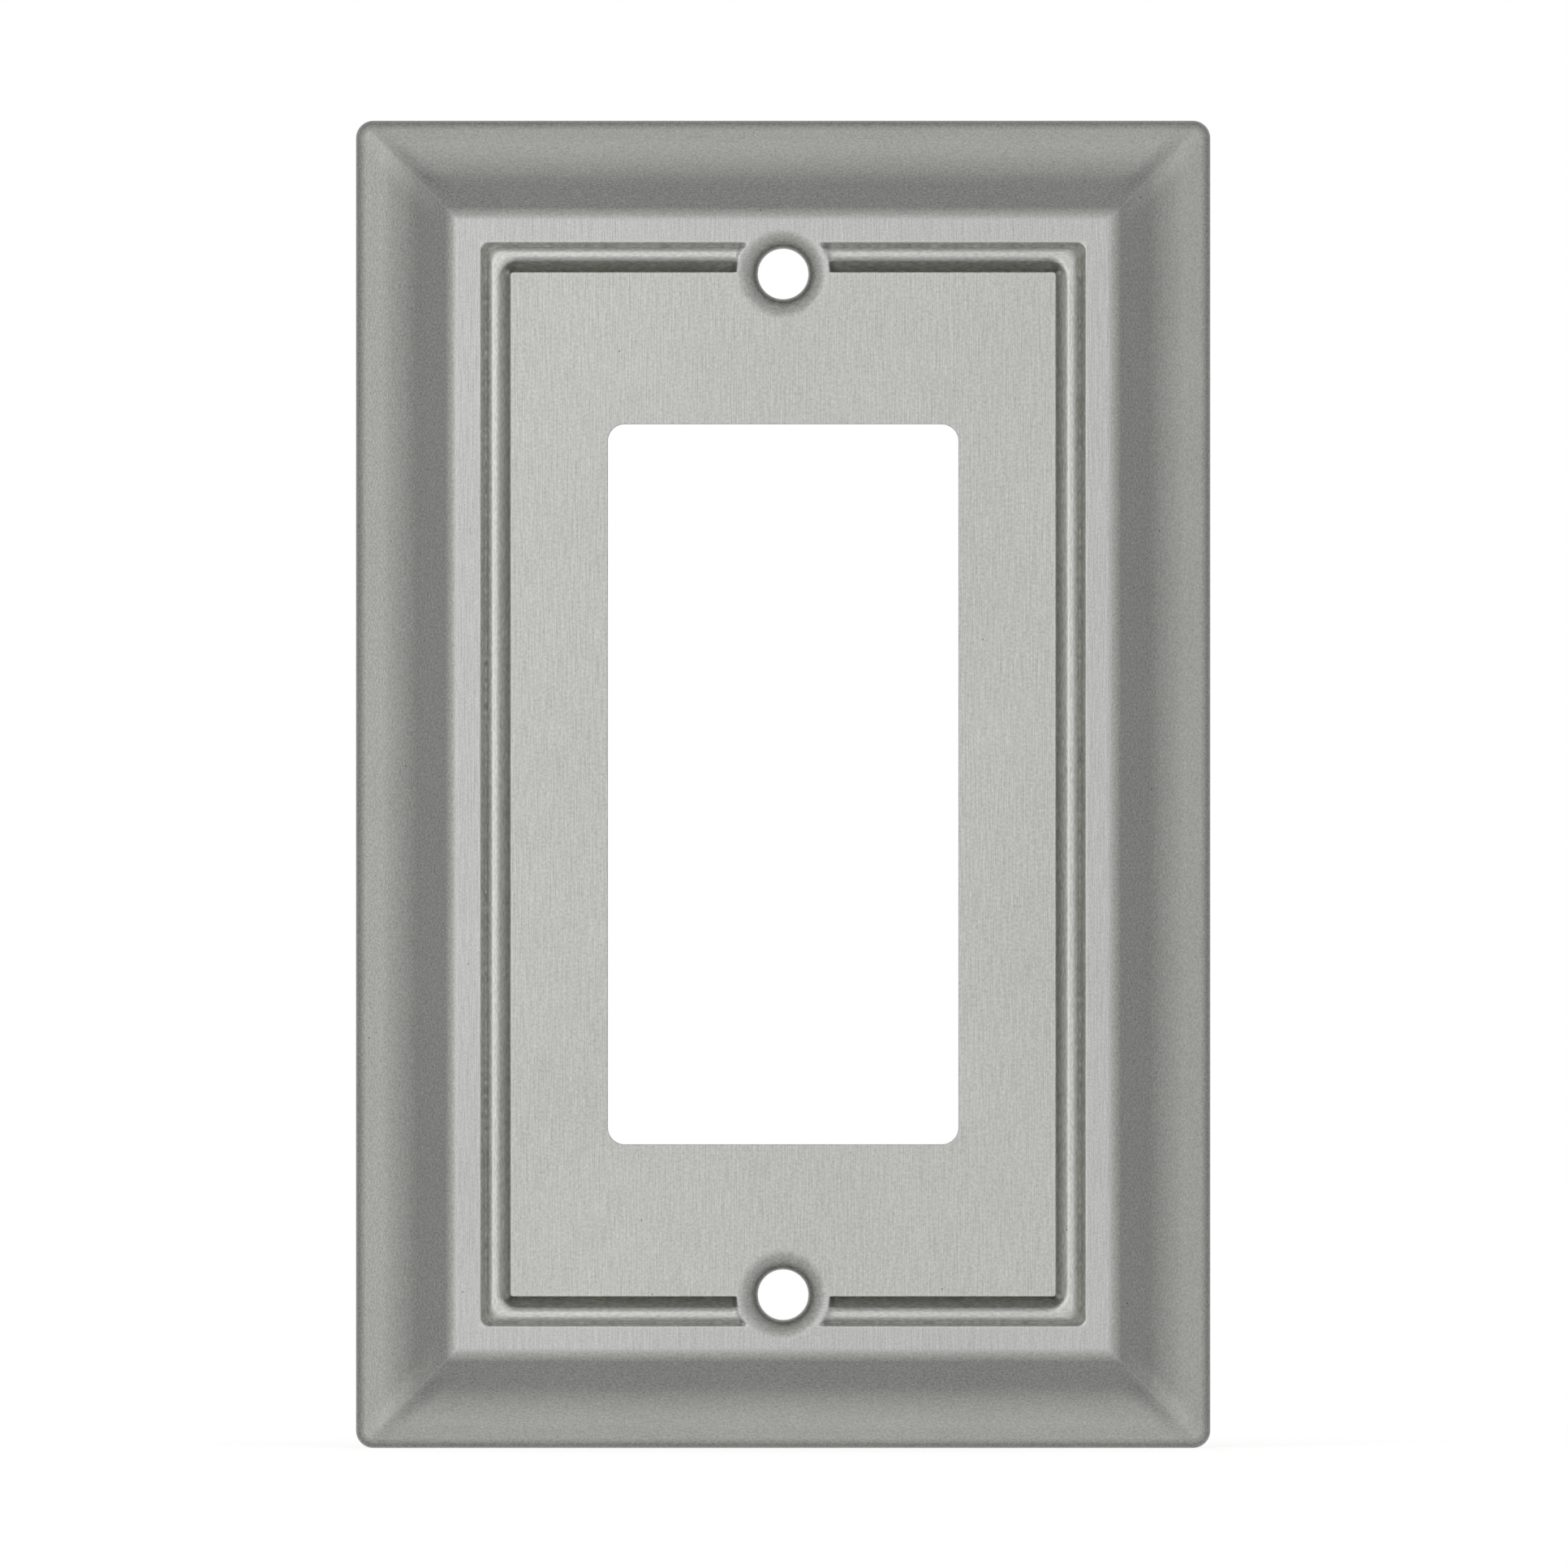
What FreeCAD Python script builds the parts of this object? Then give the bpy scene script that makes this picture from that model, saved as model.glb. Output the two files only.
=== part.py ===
import FreeCAD, Part
import Sketcher

import math
import os
import re

# Wall plate for one rocker switch, cast in zinc in one piece and finished in satin nickel.
# X runs across the plate, Z up it, and the face looks along -Y.
# The origin is in the middle of the plate, on the plane of the wall that it lies against.
# The front form and the hollow behind it are made apart, as the two halves of the die are,
# and the second is cut from the first.

# Driving sizes, in millimetres and degrees
SIZES = {
    # Outline of the plate
    "plate_width": 81.1,
    "plate_height": 126.0,
    "plate_depth": 7.5,
    "corner_radius": 1.65,
    # Moulding that falls from a raised platform to the rim, trimmed a little at the two ends
    "moulding_width": 9.78,
    "end_trim": 0.25,
    "crest_radius": 1.8,
    "steep_angle": 45.0,
    "steep_run": 2.68,
    "cove_run": 3.3,
    "low_angle": 18.0,
    "mitre_radius": 1.3,
    "rim_radius": 1.1,
    # Channel between the platform and the panel, with a bead standing in it between two V-shaped quirks
    "platform_border": 2.1,
    "channel_gap": 2.8,
    "channel_corner_radius": 0.7,
    "outer_quirk_run": 0.52,
    "outer_quirk_depth": 0.6,
    "inner_quirk_depth": 1.25,
    "quirk_floor": 0.05,
    "quirk_corner_radius": 0.2,
    "bead_outer_run": 0.39,
    "bead_width": 0.8,
    "bead_end_shift": 0.25,
    "bead_drop": 0.15,
    "bead_outer_radius": 0.75,
    "bead_inner_radius": 0.85,
    "bead_foot_corner_radius": 0.6,
    "bead_outer_corner_radius": 0.9,
    "bead_inner_corner_radius": 1.9,
    # Opening for the rocker
    "opening_width": 33.25,
    "opening_height": 68.3,
    "opening_corner_radius": 1.6,
    # Screw holes, each bell-mouthed in a round collar that fills the channel
    "screw_spacing": 96.84,
    "screw_hole_radius": 2.4,
    "bell_radius": 4.25,
    "bell_lip_angle": 20.0,
    "collar_radius": 4.4,
    # Hollow back, with a boss behind each screw hole that stops short of the wall
    "wall_thickness": 2.1,
    "core_corner_radius": 0.6,
    "boss_radius": 5.0,
    "strap_gap": 1.6,
    # How far a cutting shape runs past what it cuts
    "overrun": 3.0,
}
TOUCH = 0.001
FULL_TURN = 360

# Formulas that more than one piece of the front goes by
HALF_WIDTH = "plate_width / 2"
HALF_HEIGHT = "plate_height / 2"
HALF_PLATFORM_WIDTH = f"{HALF_WIDTH} - moulding_width"
HALF_PLATFORM_HEIGHT = f"{HALF_HEIGHT} - moulding_width + end_trim"
CHANNEL_WIDTH = f"2 * ({HALF_PLATFORM_WIDTH} - platform_border)"
CHANNEL_HEIGHT = f"2 * ({HALF_PLATFORM_HEIGHT} - platform_border)"
PANEL_WIDTH = f"{CHANNEL_WIDTH} - 2 * channel_gap"
PANEL_HEIGHT = f"{CHANNEL_HEIGHT} - 2 * channel_gap"

doc = FreeCAD.newDocument("wall_plate")
sheet = doc.addObject("Spreadsheet::Sheet", "sizes")
for row, (alias, value) in enumerate(SIZES.items(), start=1):
    sheet.set(f"A{row}", alias)
    sheet.set(f"B{row}", str(value))
    sheet.setAlias(f"B{row}", alias)
doc.recompute()

# Turns of a sketch on its plane, so that it reads outward from the plate's middle and up to its face
LEVEL_SECTION = FreeCAD.Rotation(FreeCAD.Vector(1, 0, 0), 180)
UPRIGHT_SECTION = FreeCAD.Rotation(FreeCAD.Vector(0, 0, 1), 90)
FACE_VIEW = FreeCAD.Rotation()


# Sketches and features tied to the sizes
def formula(text):
    """A formula with each size in it written as the sheet's cell."""
    return re.sub(r"\w+", lambda word: f"sizes.{word[0]}" if word[0] in SIZES else word[0], text)


def number(text):
    """What a formula of the sizes comes to."""
    return float(sheet.evalExpression(formula(text)))


def new_sketch(body, label, plane_role, turn, height="0"):
    """An empty sketch on one of the body's planes, or at a height in front of the plane of the wall."""
    plane = next(part for part in body.Origin.OriginFeatures if part.Role == plane_role)
    sketch = body.newObject("Sketcher::SketchObject", label)
    sketch.AttachmentSupport = [(plane, "")]
    sketch.MapMode = "FlatFace"
    sketch.AttachmentOffset = FreeCAD.Placement(FreeCAD.Vector(), turn)
    sketch.setExpression(".AttachmentOffset.Base.z", formula(height))
    return sketch


def dimension(sketch, kind, where, text):
    """A dimension of the sketch, held to a formula of the sizes."""
    index = sketch.addConstraint(Sketcher.Constraint(kind, *where, number(text)))
    sketch.setExpression(f"Constraints[{index}]", formula(text))


def slope(sketch, edge, text):
    """The fall of a straight edge of the sketch, held to a formula that gives degrees."""
    index = sketch.addConstraint(Sketcher.Constraint("Angle", edge, -math.radians(number(text))))
    sketch.setExpression(f"Constraints[{index}]", f"-({formula(text)}) * 1 deg")


def line(sketch, start, end):
    """A straight edge between two points given as (x, y)."""
    return sketch.addGeometry(Part.LineSegment(FreeCAD.Vector(*start), FreeCAD.Vector(*end)))


def arc(sketch, centre, radius, start_deg, end_deg):
    """A round edge that runs anticlockwise between two directions from its centre."""
    circle = Part.Circle(FreeCAD.Vector(*centre), FreeCAD.Vector(0, 0, 1), radius)
    return sketch.addGeometry(Part.ArcOfCircle(circle, math.radians(start_deg), math.radians(end_deg)))


def rectangle(sketch, width, height):
    """A rectangle about the middle of the sketch."""
    x, y = number(width) / 2, number(height) / 2
    corners = [(-x, -y), (x, -y), (x, y), (-x, y)]
    sides = [line(sketch, corners[i], corners[(i + 1) % 4]) for i in range(4)]
    for i, side in enumerate(sides):
        sketch.addConstraint(Sketcher.Constraint("Coincident", side, 2, sides[(i + 1) % 4], 1))
        sketch.addConstraint(Sketcher.Constraint("Vertical" if i % 2 else "Horizontal", side))
    sketch.addConstraint(Sketcher.Constraint("Symmetric", sides[0], 1, sides[2], 1, -1, 1))
    dimension(sketch, "DistanceX", (sides[0], 1, sides[0], 2), width)
    dimension(sketch, "DistanceY", (sides[1], 1, sides[1], 2), height)


def rounded_rectangle(sketch, width, height, radius):
    """A rectangle about the middle of the sketch, with four equal round corners."""
    x, y, r = number(width) / 2, number(height) / 2, number(radius)
    middles = [(r - x, r - y), (x - r, r - y), (x - r, y - r), (r - x, y - r)]
    corners = [arc(sketch, middle, r, 180 + 90 * i, 270 + 90 * i) for i, middle in enumerate(middles)]
    sides = [
        line(sketch, (r - x, -y), (x - r, -y)),
        line(sketch, (x, r - y), (x, y - r)),
        line(sketch, (x - r, y), (r - x, y)),
        line(sketch, (-x, y - r), (-x, r - y)),
    ]
    for i, side in enumerate(sides):
        sketch.addConstraint(Sketcher.Constraint("Tangent", corners[i], 2, side, 1))
        sketch.addConstraint(Sketcher.Constraint("Tangent", side, 2, corners[(i + 1) % 4], 1))
        sketch.addConstraint(Sketcher.Constraint("Vertical" if i % 2 else "Horizontal", side))
    for corner in corners[1:]:
        sketch.addConstraint(Sketcher.Constraint("Equal", corners[0], corner))
    sketch.addConstraint(Sketcher.Constraint("Symmetric", corners[0], 3, corners[2], 3, -1, 1))
    dimension(sketch, "DistanceX", (sides[3], 1, sides[1], 1), width)
    dimension(sketch, "DistanceY", (sides[0], 1, sides[2], 1), height)
    dimension(sketch, "Radius", (corners[0],), radius)


def circle_pair(sketch, spacing, radius):
    """Two equal circles, one above the other, as far from the middle of the sketch."""
    y, r = number(spacing) / 2, number(radius)
    rings = [
        sketch.addGeometry(Part.Circle(FreeCAD.Vector(0, side * y, 0), FreeCAD.Vector(0, 0, 1), r))
        for side in (1, -1)
    ]
    sketch.addConstraint(Sketcher.Constraint("Equal", *rings))
    sketch.addConstraint(Sketcher.Constraint("PointOnObject", rings[0], 3, -2))
    sketch.addConstraint(Sketcher.Constraint("Symmetric", rings[0], 3, rings[1], 3, -1, 1))
    dimension(sketch, "DistanceY", (rings[1], 3, rings[0], 3), spacing)
    dimension(sketch, "Radius", (rings[0],), radius)


def feature(body, kind, label, profile):
    """A PartDesign feature that works on a sketch."""
    made = body.newObject(f"PartDesign::{kind}", label)
    made.Profile = profile
    return made


def pad(body, label, profile, length):
    """Stands a sketch forward by a length."""
    made = feature(body, "Pad", label, profile)
    made.setExpression("Length", formula(length))
    return made


def pocket(body, label, profile, depth):
    """Sinks a sketch back by a depth."""
    made = feature(body, "Pocket", label, profile)
    made.setExpression("Length", formula(depth))
    return made


def through_pocket(body, label, profile):
    """Cuts a sketch through the whole body, both ways from its plane."""
    made = feature(body, "Pocket", label, profile)
    made.SideType = "Symmetric"
    made.Type = "ThroughAll"
    return made


def frustum(body, kind, label, start, end):
    """Straight slopes from one sketch to another, which is cut away or added."""
    made = feature(body, kind, label, start)
    made.Sections = [end]
    made.Ruled = True
    return made


def mirror(body, label, original, plane_role):
    """Repeats a feature on the other side of one of the body's planes."""
    made = body.newObject("PartDesign::Mirrored", label)
    made.Originals = [original]
    made.MirrorPlane = (next(part for part in body.Origin.OriginFeatures if part.Role == plane_role), [""])
    body.Tip = made
    return made


def fillet(body, label, base, edges, radius):
    """Rounds the given edges of the body as it stands."""
    made = body.newObject("PartDesign::Fillet", label)
    names = [
        f"Edge{i}" for i, edge in enumerate(base.Shape.Edges, start=1)
        if any(edge.isSame(one) for one in edges)
    ]
    made.Base = (base, names)
    made.setExpression("Radius", formula(radius))
    return made


# The moulding's section, shared by the front form and the hollow
def moulding_waste(body, label, plane_role, turn, half_platform, half_plate, inset, corner):
    """What lies outside the moulding's section.

    The section runs from a rounded crest down a steep fall and a cove to a low slope. inset is how far behind
    the face it lies, and corner the radius at its crest.
    """
    sketch = new_sketch(body, label, plane_role, turn)
    crest_x = f"{half_platform} - ({inset} + {corner} - crest_radius) * tan(steep_angle / 2)"
    steep_end_x = f"{half_platform} + (crest_radius - {inset}) * sin(steep_angle) + steep_run"
    cove_end_x = (
        f"{half_platform} + crest_radius * sin(steep_angle) + steep_run + cove_run"
        f" - {inset} * sin(low_angle)"
    )
    crest_height = f"plate_depth - {inset}"
    reach = f"{half_plate} + overrun"

    # Corner points, worked out down the section
    steep, low = number("steep_angle"), number("low_angle")
    steep_sin, steep_cos = math.sin(math.radians(steep)), math.cos(math.radians(steep))
    low_sin, low_cos = math.sin(math.radians(low)), math.cos(math.radians(low))
    r = number(corner)
    x0, y0 = number(crest_x), number(crest_height)
    x1, y1 = x0 + r * steep_sin, y0 - r * (1 - steep_cos)
    x2 = number(steep_end_x)
    y2 = y1 - (x2 - x1) * steep_sin / steep_cos
    x3 = number(cove_end_x)
    cove_radius = (x3 - x2) / (steep_sin - low_sin)
    y3 = y2 - cove_radius * (low_cos - steep_cos)
    x4 = number(reach)
    y4 = y3 - (x4 - x3) * low_sin / low_cos
    y5 = y0 + number("overrun")

    crest = arc(sketch, (x0, y0 - r), r, 90 - steep, 90)
    fall = line(sketch, (x1, y1), (x2, y2))
    cove_centre = (x2 + cove_radius * steep_sin, y2 + cove_radius * steep_cos)
    cove = arc(sketch, cove_centre, cove_radius, 270 - steep, 270 - low)
    shelf = line(sketch, (x3, y3), (x4, y4))
    outside = line(sketch, (x4, y4), (x4, y5))
    above = line(sketch, (x4, y5), (x0, y5))
    inside = line(sketch, (x0, y5), (x0, y0))

    sketch.addConstraint(Sketcher.Constraint("Tangent", crest, 1, fall, 1))
    sketch.addConstraint(Sketcher.Constraint("Tangent", fall, 2, cove, 1))
    sketch.addConstraint(Sketcher.Constraint("Tangent", cove, 2, shelf, 1))
    sketch.addConstraint(Sketcher.Constraint("Coincident", shelf, 2, outside, 1))
    sketch.addConstraint(Sketcher.Constraint("Coincident", outside, 2, above, 1))
    sketch.addConstraint(Sketcher.Constraint("Coincident", above, 2, inside, 1))
    sketch.addConstraint(Sketcher.Constraint("Coincident", inside, 2, crest, 2))
    sketch.addConstraint(Sketcher.Constraint("Vertical", outside))
    sketch.addConstraint(Sketcher.Constraint("Horizontal", above))
    sketch.addConstraint(Sketcher.Constraint("Vertical", inside))
    sketch.addConstraint(Sketcher.Constraint("Vertical", crest, 3, crest, 2))
    dimension(sketch, "Radius", (crest,), corner)
    slope(sketch, fall, "steep_angle")
    slope(sketch, shelf, "low_angle")
    dimension(sketch, "DistanceX", (-1, 1, crest, 2), crest_x)
    dimension(sketch, "DistanceY", (-1, 1, crest, 2), crest_height)
    dimension(sketch, "DistanceX", (-1, 1, fall, 2), steep_end_x)
    dimension(sketch, "DistanceX", (-1, 1, cove, 2), cove_end_x)
    dimension(sketch, "DistanceX", (-1, 1, outside, 1), reach)
    dimension(sketch, "DistanceY", (inside, 2, inside, 1), "overrun")
    return sketch


def cut_mouldings(body, inset, corner):
    """Planes the moulding along the two sides and then along the two ends, which mitres the corners."""
    side = moulding_waste(
        body, f"{body.Name}_side_section", "XY_Plane", LEVEL_SECTION,
        HALF_PLATFORM_WIDTH, HALF_WIDTH, inset, corner,
    )
    side_cut = through_pocket(body, f"{body.Name}_side_moulding", side)
    mirror(body, f"{body.Name}_other_side_moulding", side_cut, "YZ_Plane")
    end = moulding_waste(
        body, f"{body.Name}_end_section", "YZ_Plane", UPRIGHT_SECTION,
        HALF_PLATFORM_HEIGHT, HALF_HEIGHT, inset, corner,
    )
    end_cut = through_pocket(body, f"{body.Name}_end_moulding", end)
    return mirror(body, f"{body.Name}_other_end_moulding", end_cut, "XY_Plane")


# Front form
def add_blank(body):
    """The plate's outline, as thick as the whole plate."""
    outline = new_sketch(body, "outline", "XZ_Plane", FACE_VIEW)
    rounded_rectangle(outline, "plate_width", "plate_height", "corner_radius")
    return pad(body, "blank", outline, "plate_depth")


def round_mitres(body, base):
    """Rounds the four hips of the moulding, which run out and down from the platform's corners."""
    half_width, half_height = number(HALF_PLATFORM_WIDTH), number(HALF_PLATFORM_HEIGHT)

    def on_hip(edge):
        """Whether an edge falls away from the face along the diagonal through a corner of the platform."""
        ends = [vertex.Point for vertex in edge.Vertexes]
        in_line = all(abs((abs(end.x) - half_width) - (abs(end.z) - half_height)) < TOUCH for end in ends)
        return in_line and edge.BoundBox.YLength > TOUCH

    hips = [edge for edge in base.Shape.Edges if on_hip(edge)]
    return fillet(body, "mitre_rounding", base, hips, "mitre_radius")


def round_rim(body, base):
    """Rounds the edge where the low slope meets the outer wall, all the way round."""
    walls = [
        face for face in base.Shape.Faces
        if face.BoundBox.YMax > -TOUCH and face.BoundBox.YLength > TOUCH
    ]
    rim = [edge for wall in walls for edge in wall.Edges if edge.BoundBox.YMax < -TOUCH]
    return fillet(body, "rim_rounding", base, rim, "rim_radius")


def level_outline(body, label, depth, width, height, radius):
    """A rectangle with round corners, at a depth below the face."""
    outline = new_sketch(body, label, "XZ_Plane", FACE_VIEW, f"plate_depth - {depth}")
    rounded_rectangle(outline, width, height, radius)
    return outline


def cut_channel(body):
    """The channel, made from the outside inwards as a pit, a block in it, a pit in that, and the panel.

    The slopes of the first pit and the block make the outer quirk. The slope of the second pit and the
    panel's upright wall make the inner one, and between the pits the block's top is left as the bead.
    At the two ends the bead lies a little nearer the channel's edge than at the sides.
    """
    sides = (CHANNEL_WIDTH, CHANNEL_HEIGHT)
    side_runs = ("outer_quirk_run", "(outer_quirk_run - bead_end_shift)")
    outer_root = [f"{side} - 2 * {run}" for side, run in zip(sides, side_runs)]
    bead_foot = [f"{side} - 2 * quirk_floor" for side in outer_root]
    bead_outside = [f"{side} - 2 * bead_outer_run" for side in bead_foot]
    bead_inside = [f"{side} - 2 * bead_width" for side in bead_outside]
    inner_root = [f"{side} + 2 * quirk_floor" for side in (PANEL_WIDTH, PANEL_HEIGHT)]

    edge = level_outline(body, "channel_edge", "0", *sides, "channel_corner_radius")
    root = level_outline(body, "outer_quirk_root", "outer_quirk_depth", *outer_root, "quirk_corner_radius")
    frustum(body, "SubtractiveLoft", "outer_pit", edge, root)

    foot = level_outline(body, "bead_foot", "outer_quirk_depth", *bead_foot, "bead_foot_corner_radius")
    outside = level_outline(body, "bead_outside", "bead_drop", *bead_outside, "bead_outer_corner_radius")
    frustum(body, "AdditiveLoft", "bead_block", foot, outside)

    inside = level_outline(body, "bead_inside", "bead_drop", *bead_inside, "bead_inner_corner_radius")
    root = level_outline(body, "inner_quirk_root", "inner_quirk_depth", *inner_root, "quirk_corner_radius")
    frustum(body, "SubtractiveLoft", "inner_pit", inside, root)

    panel = new_sketch(body, "panel_outline", "XZ_Plane", FACE_VIEW, "plate_depth - inner_quirk_depth")
    rectangle(panel, PANEL_WIDTH, PANEL_HEIGHT)
    return pad(body, "panel", panel, "inner_quirk_depth")


def bead_top(shape):
    """The flat ring along the top of the bead."""
    height = number("plate_depth - bead_drop")
    return next(
        face for face in shape.Faces
        if abs(face.BoundBox.YMin + height) < TOUCH and abs(face.BoundBox.YMax + height) < TOUCH
    )


def round_bead(body, base):
    """Rounds the bead's top over, on its outer and then on its inner side."""
    doc.recompute()
    top = bead_top(base.Shape)
    outside = fillet(body, "bead_outer_rounding", base, top.OuterWire.Edges, "bead_outer_radius")
    doc.recompute()
    top = bead_top(outside.Shape)
    inner_edges = [edge for wire in top.Wires if not wire.isSame(top.OuterWire) for edge in wire.Edges]
    return fillet(body, "bead_inner_rounding", outside, inner_edges, "bead_inner_radius")


def add_collars(body):
    """Round collars that fill the channel to the face, one at each screw hole."""
    rings = new_sketch(body, "collar_outlines", "XZ_Plane", FACE_VIEW, "plate_depth - wall_thickness")
    circle_pair(rings, "screw_spacing", "collar_radius")
    return pad(body, "collars", rings, "wall_thickness")


def cut_opening(body):
    """The opening that the rocker stands in."""
    outline = new_sketch(body, "opening_outline", "XZ_Plane", FACE_VIEW)
    rounded_rectangle(outline, "opening_width", "opening_height", "opening_corner_radius")
    return through_pocket(body, "opening", outline)


def bore_screw_holes(body):
    """Screw holes that widen to the face in a convex bell, which meets it at the lip's angle."""
    sketch = new_sketch(body, "bell_section", "YZ_Plane", UPRIGHT_SECTION)
    axis_x = number("screw_spacing / 2")
    bore_x = axis_x + number("screw_hole_radius")
    lip_x = axis_x + number("bell_radius")
    round_over = "(bell_radius - screw_hole_radius) / (1 - sin(bell_lip_angle))"
    r = number(round_over)
    lip = number("bell_lip_angle")
    face = number("plate_depth")
    throat = face - r * math.cos(math.radians(lip))
    below, above = -number("overrun"), face + number("overrun")

    foot = line(sketch, (axis_x, below), (bore_x, below))
    bore = line(sketch, (bore_x, below), (bore_x, throat))
    bell = arc(sketch, (bore_x + r, throat), r, 90 + lip, 180)
    mouth = line(sketch, (lip_x, face), (lip_x, above))
    top = line(sketch, (lip_x, above), (axis_x, above))
    middle = line(sketch, (axis_x, above), (axis_x, below))
    axis = sketch.addGeometry(
        Part.LineSegment(FreeCAD.Vector(axis_x, below, 0), FreeCAD.Vector(axis_x, above, 0)), True
    )

    sketch.addConstraint(Sketcher.Constraint("Coincident", foot, 2, bore, 1))
    sketch.addConstraint(Sketcher.Constraint("Tangent", bore, 2, bell, 2))
    sketch.addConstraint(Sketcher.Constraint("Coincident", bell, 1, mouth, 1))
    sketch.addConstraint(Sketcher.Constraint("Coincident", mouth, 2, top, 1))
    sketch.addConstraint(Sketcher.Constraint("Coincident", top, 2, middle, 1))
    sketch.addConstraint(Sketcher.Constraint("Coincident", middle, 2, foot, 1))
    sketch.addConstraint(Sketcher.Constraint("Coincident", axis, 1, middle, 2))
    sketch.addConstraint(Sketcher.Constraint("Coincident", axis, 2, middle, 1))
    for level in (foot, top):
        sketch.addConstraint(Sketcher.Constraint("Horizontal", level))
    for upright in (bore, mouth, middle):
        sketch.addConstraint(Sketcher.Constraint("Vertical", upright))
    dimension(sketch, "DistanceX", (-1, 1, middle, 1), "screw_spacing / 2")
    dimension(sketch, "DistanceX", (foot, 1, foot, 2), "screw_hole_radius")
    dimension(sketch, "DistanceX", (middle, 1, mouth, 1), "bell_radius")
    dimension(sketch, "Radius", (bell,), round_over)
    dimension(sketch, "DistanceY", (-1, 1, mouth, 1), "plate_depth")
    dimension(sketch, "DistanceY", (-1, 1, mouth, 2), "plate_depth + overrun")
    dimension(sketch, "DistanceY", (foot, 1, -1, 1), "overrun")

    hole = feature(body, "Groove", "screw_hole", sketch)
    hole.ReferenceAxis = (sketch, ["Axis0"])
    hole.Angle = FULL_TURN
    return mirror(body, "other_screw_hole", hole, "XY_Plane")


def make_front_form():
    """The plate as a solid block with its whole front, its opening and its screw holes."""
    body = doc.addObject("PartDesign::Body", "front_form")
    add_blank(body)
    mouldings = cut_mouldings(body, "0", "crest_radius")
    doc.recompute()
    hips = round_mitres(body, mouldings)
    doc.recompute()
    round_rim(body, hips)
    channel = cut_channel(body)
    round_bead(body, channel)
    add_collars(body)
    cut_opening(body)
    bore_screw_holes(body)
    return body


# Hollow back
def make_hollow():
    """The space one wall thickness behind the front, with the bosses left standing in it."""
    body = doc.addObject("PartDesign::Body", "hollow")
    outline = new_sketch(body, "hollow_outline", "XZ_Plane", FACE_VIEW, "-overrun")
    rectangle(outline, "plate_width", "plate_height")
    pad(body, "hollow_blank", outline, "plate_depth - wall_thickness + overrun")
    cut_mouldings(body, "wall_thickness", "core_corner_radius")
    bosses = new_sketch(body, "boss_outlines", "XZ_Plane", FACE_VIEW, "plate_depth - wall_thickness")
    circle_pair(bosses, "screw_spacing", "boss_radius")
    pocket(body, "bosses", bosses, "plate_depth - wall_thickness - strap_gap")
    return body


# Finished plate
def make_wall_plate():
    """The front form with the hollow taken out of its back."""
    plate = doc.addObject("Part::Cut", "wall_plate")
    plate.Label = "wall_plate"
    plate.Base = make_front_form()
    plate.Tool = make_hollow()
    plate.Placement = FreeCAD.Placement()
    doc.recompute()
    return plate


def check_document():
    """Stops at an object that failed, or at a shape that is empty or faulty."""
    for item in doc.Objects:
        if {"Invalid", "Error"} & set(item.State):
            raise RuntimeError(f"{item.Label} failed: {item.State}")
        is_solid = item.isDerivedFrom("Part::Feature") and not item.isDerivedFrom("Part::Part2DObject")
        if is_solid and (item.Shape.isNull() or not item.Shape.isValid()):
            raise RuntimeError(f"{item.Label} has no valid shape")


wall_plate = make_wall_plate()
check_document()
os.makedirs("parts", exist_ok=True)
wall_plate.Shape.exportStep(f"parts/{wall_plate.Label}.step")
print(f"{wall_plate.Label}: {len(wall_plate.Shape.Solids)} solid, {wall_plate.Shape.Volume:.1f} cubic mm")
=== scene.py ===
import math

import bpy
import numpy as np
from bpy.props import FloatProperty, FloatVectorProperty, PointerProperty
from bpy.types import Operator, Panel, PropertyGroup
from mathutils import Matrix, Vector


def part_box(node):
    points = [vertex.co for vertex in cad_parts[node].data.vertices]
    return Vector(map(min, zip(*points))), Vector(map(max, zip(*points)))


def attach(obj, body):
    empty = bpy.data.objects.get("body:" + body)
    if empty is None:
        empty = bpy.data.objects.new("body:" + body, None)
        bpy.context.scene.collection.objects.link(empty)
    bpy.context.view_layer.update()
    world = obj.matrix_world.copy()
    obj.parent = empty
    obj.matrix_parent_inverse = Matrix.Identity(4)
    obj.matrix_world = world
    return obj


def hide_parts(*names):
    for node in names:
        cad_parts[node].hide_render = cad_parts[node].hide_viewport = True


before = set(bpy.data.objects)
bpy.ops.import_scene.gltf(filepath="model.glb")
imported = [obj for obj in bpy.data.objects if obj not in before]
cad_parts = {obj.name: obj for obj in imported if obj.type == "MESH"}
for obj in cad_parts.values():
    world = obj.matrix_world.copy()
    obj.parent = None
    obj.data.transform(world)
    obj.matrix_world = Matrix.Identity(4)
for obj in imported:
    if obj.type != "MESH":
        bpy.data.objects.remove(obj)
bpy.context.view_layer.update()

# Wall plate for one rocker switch, cast in one piece and finished in satin nickel.
# X runs across the plate, Z up it, the wall is the plane Y = 0 and the face looks along -Y.
# A section is written as places (out, height): out from the middle of the plate, and in front
# of the wall.

bl_info = {
    "name": "Rocker switch wall plate",
    "version": (1, 0, 0),
    "blender": (4, 5, 0),
    "location": "View3D > Sidebar > Wall plate",
    "description": "A satin nickel wall plate with a mitred moulding, a sunk bead and bell-mouthed holes",
    "category": "Mesh",
}

MM = 0.001
DIAGONAL = math.sqrt(0.5)
NODE = "wall_plate"
BODY = "root"
CAD_LOW, CAD_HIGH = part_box(NODE)

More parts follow.
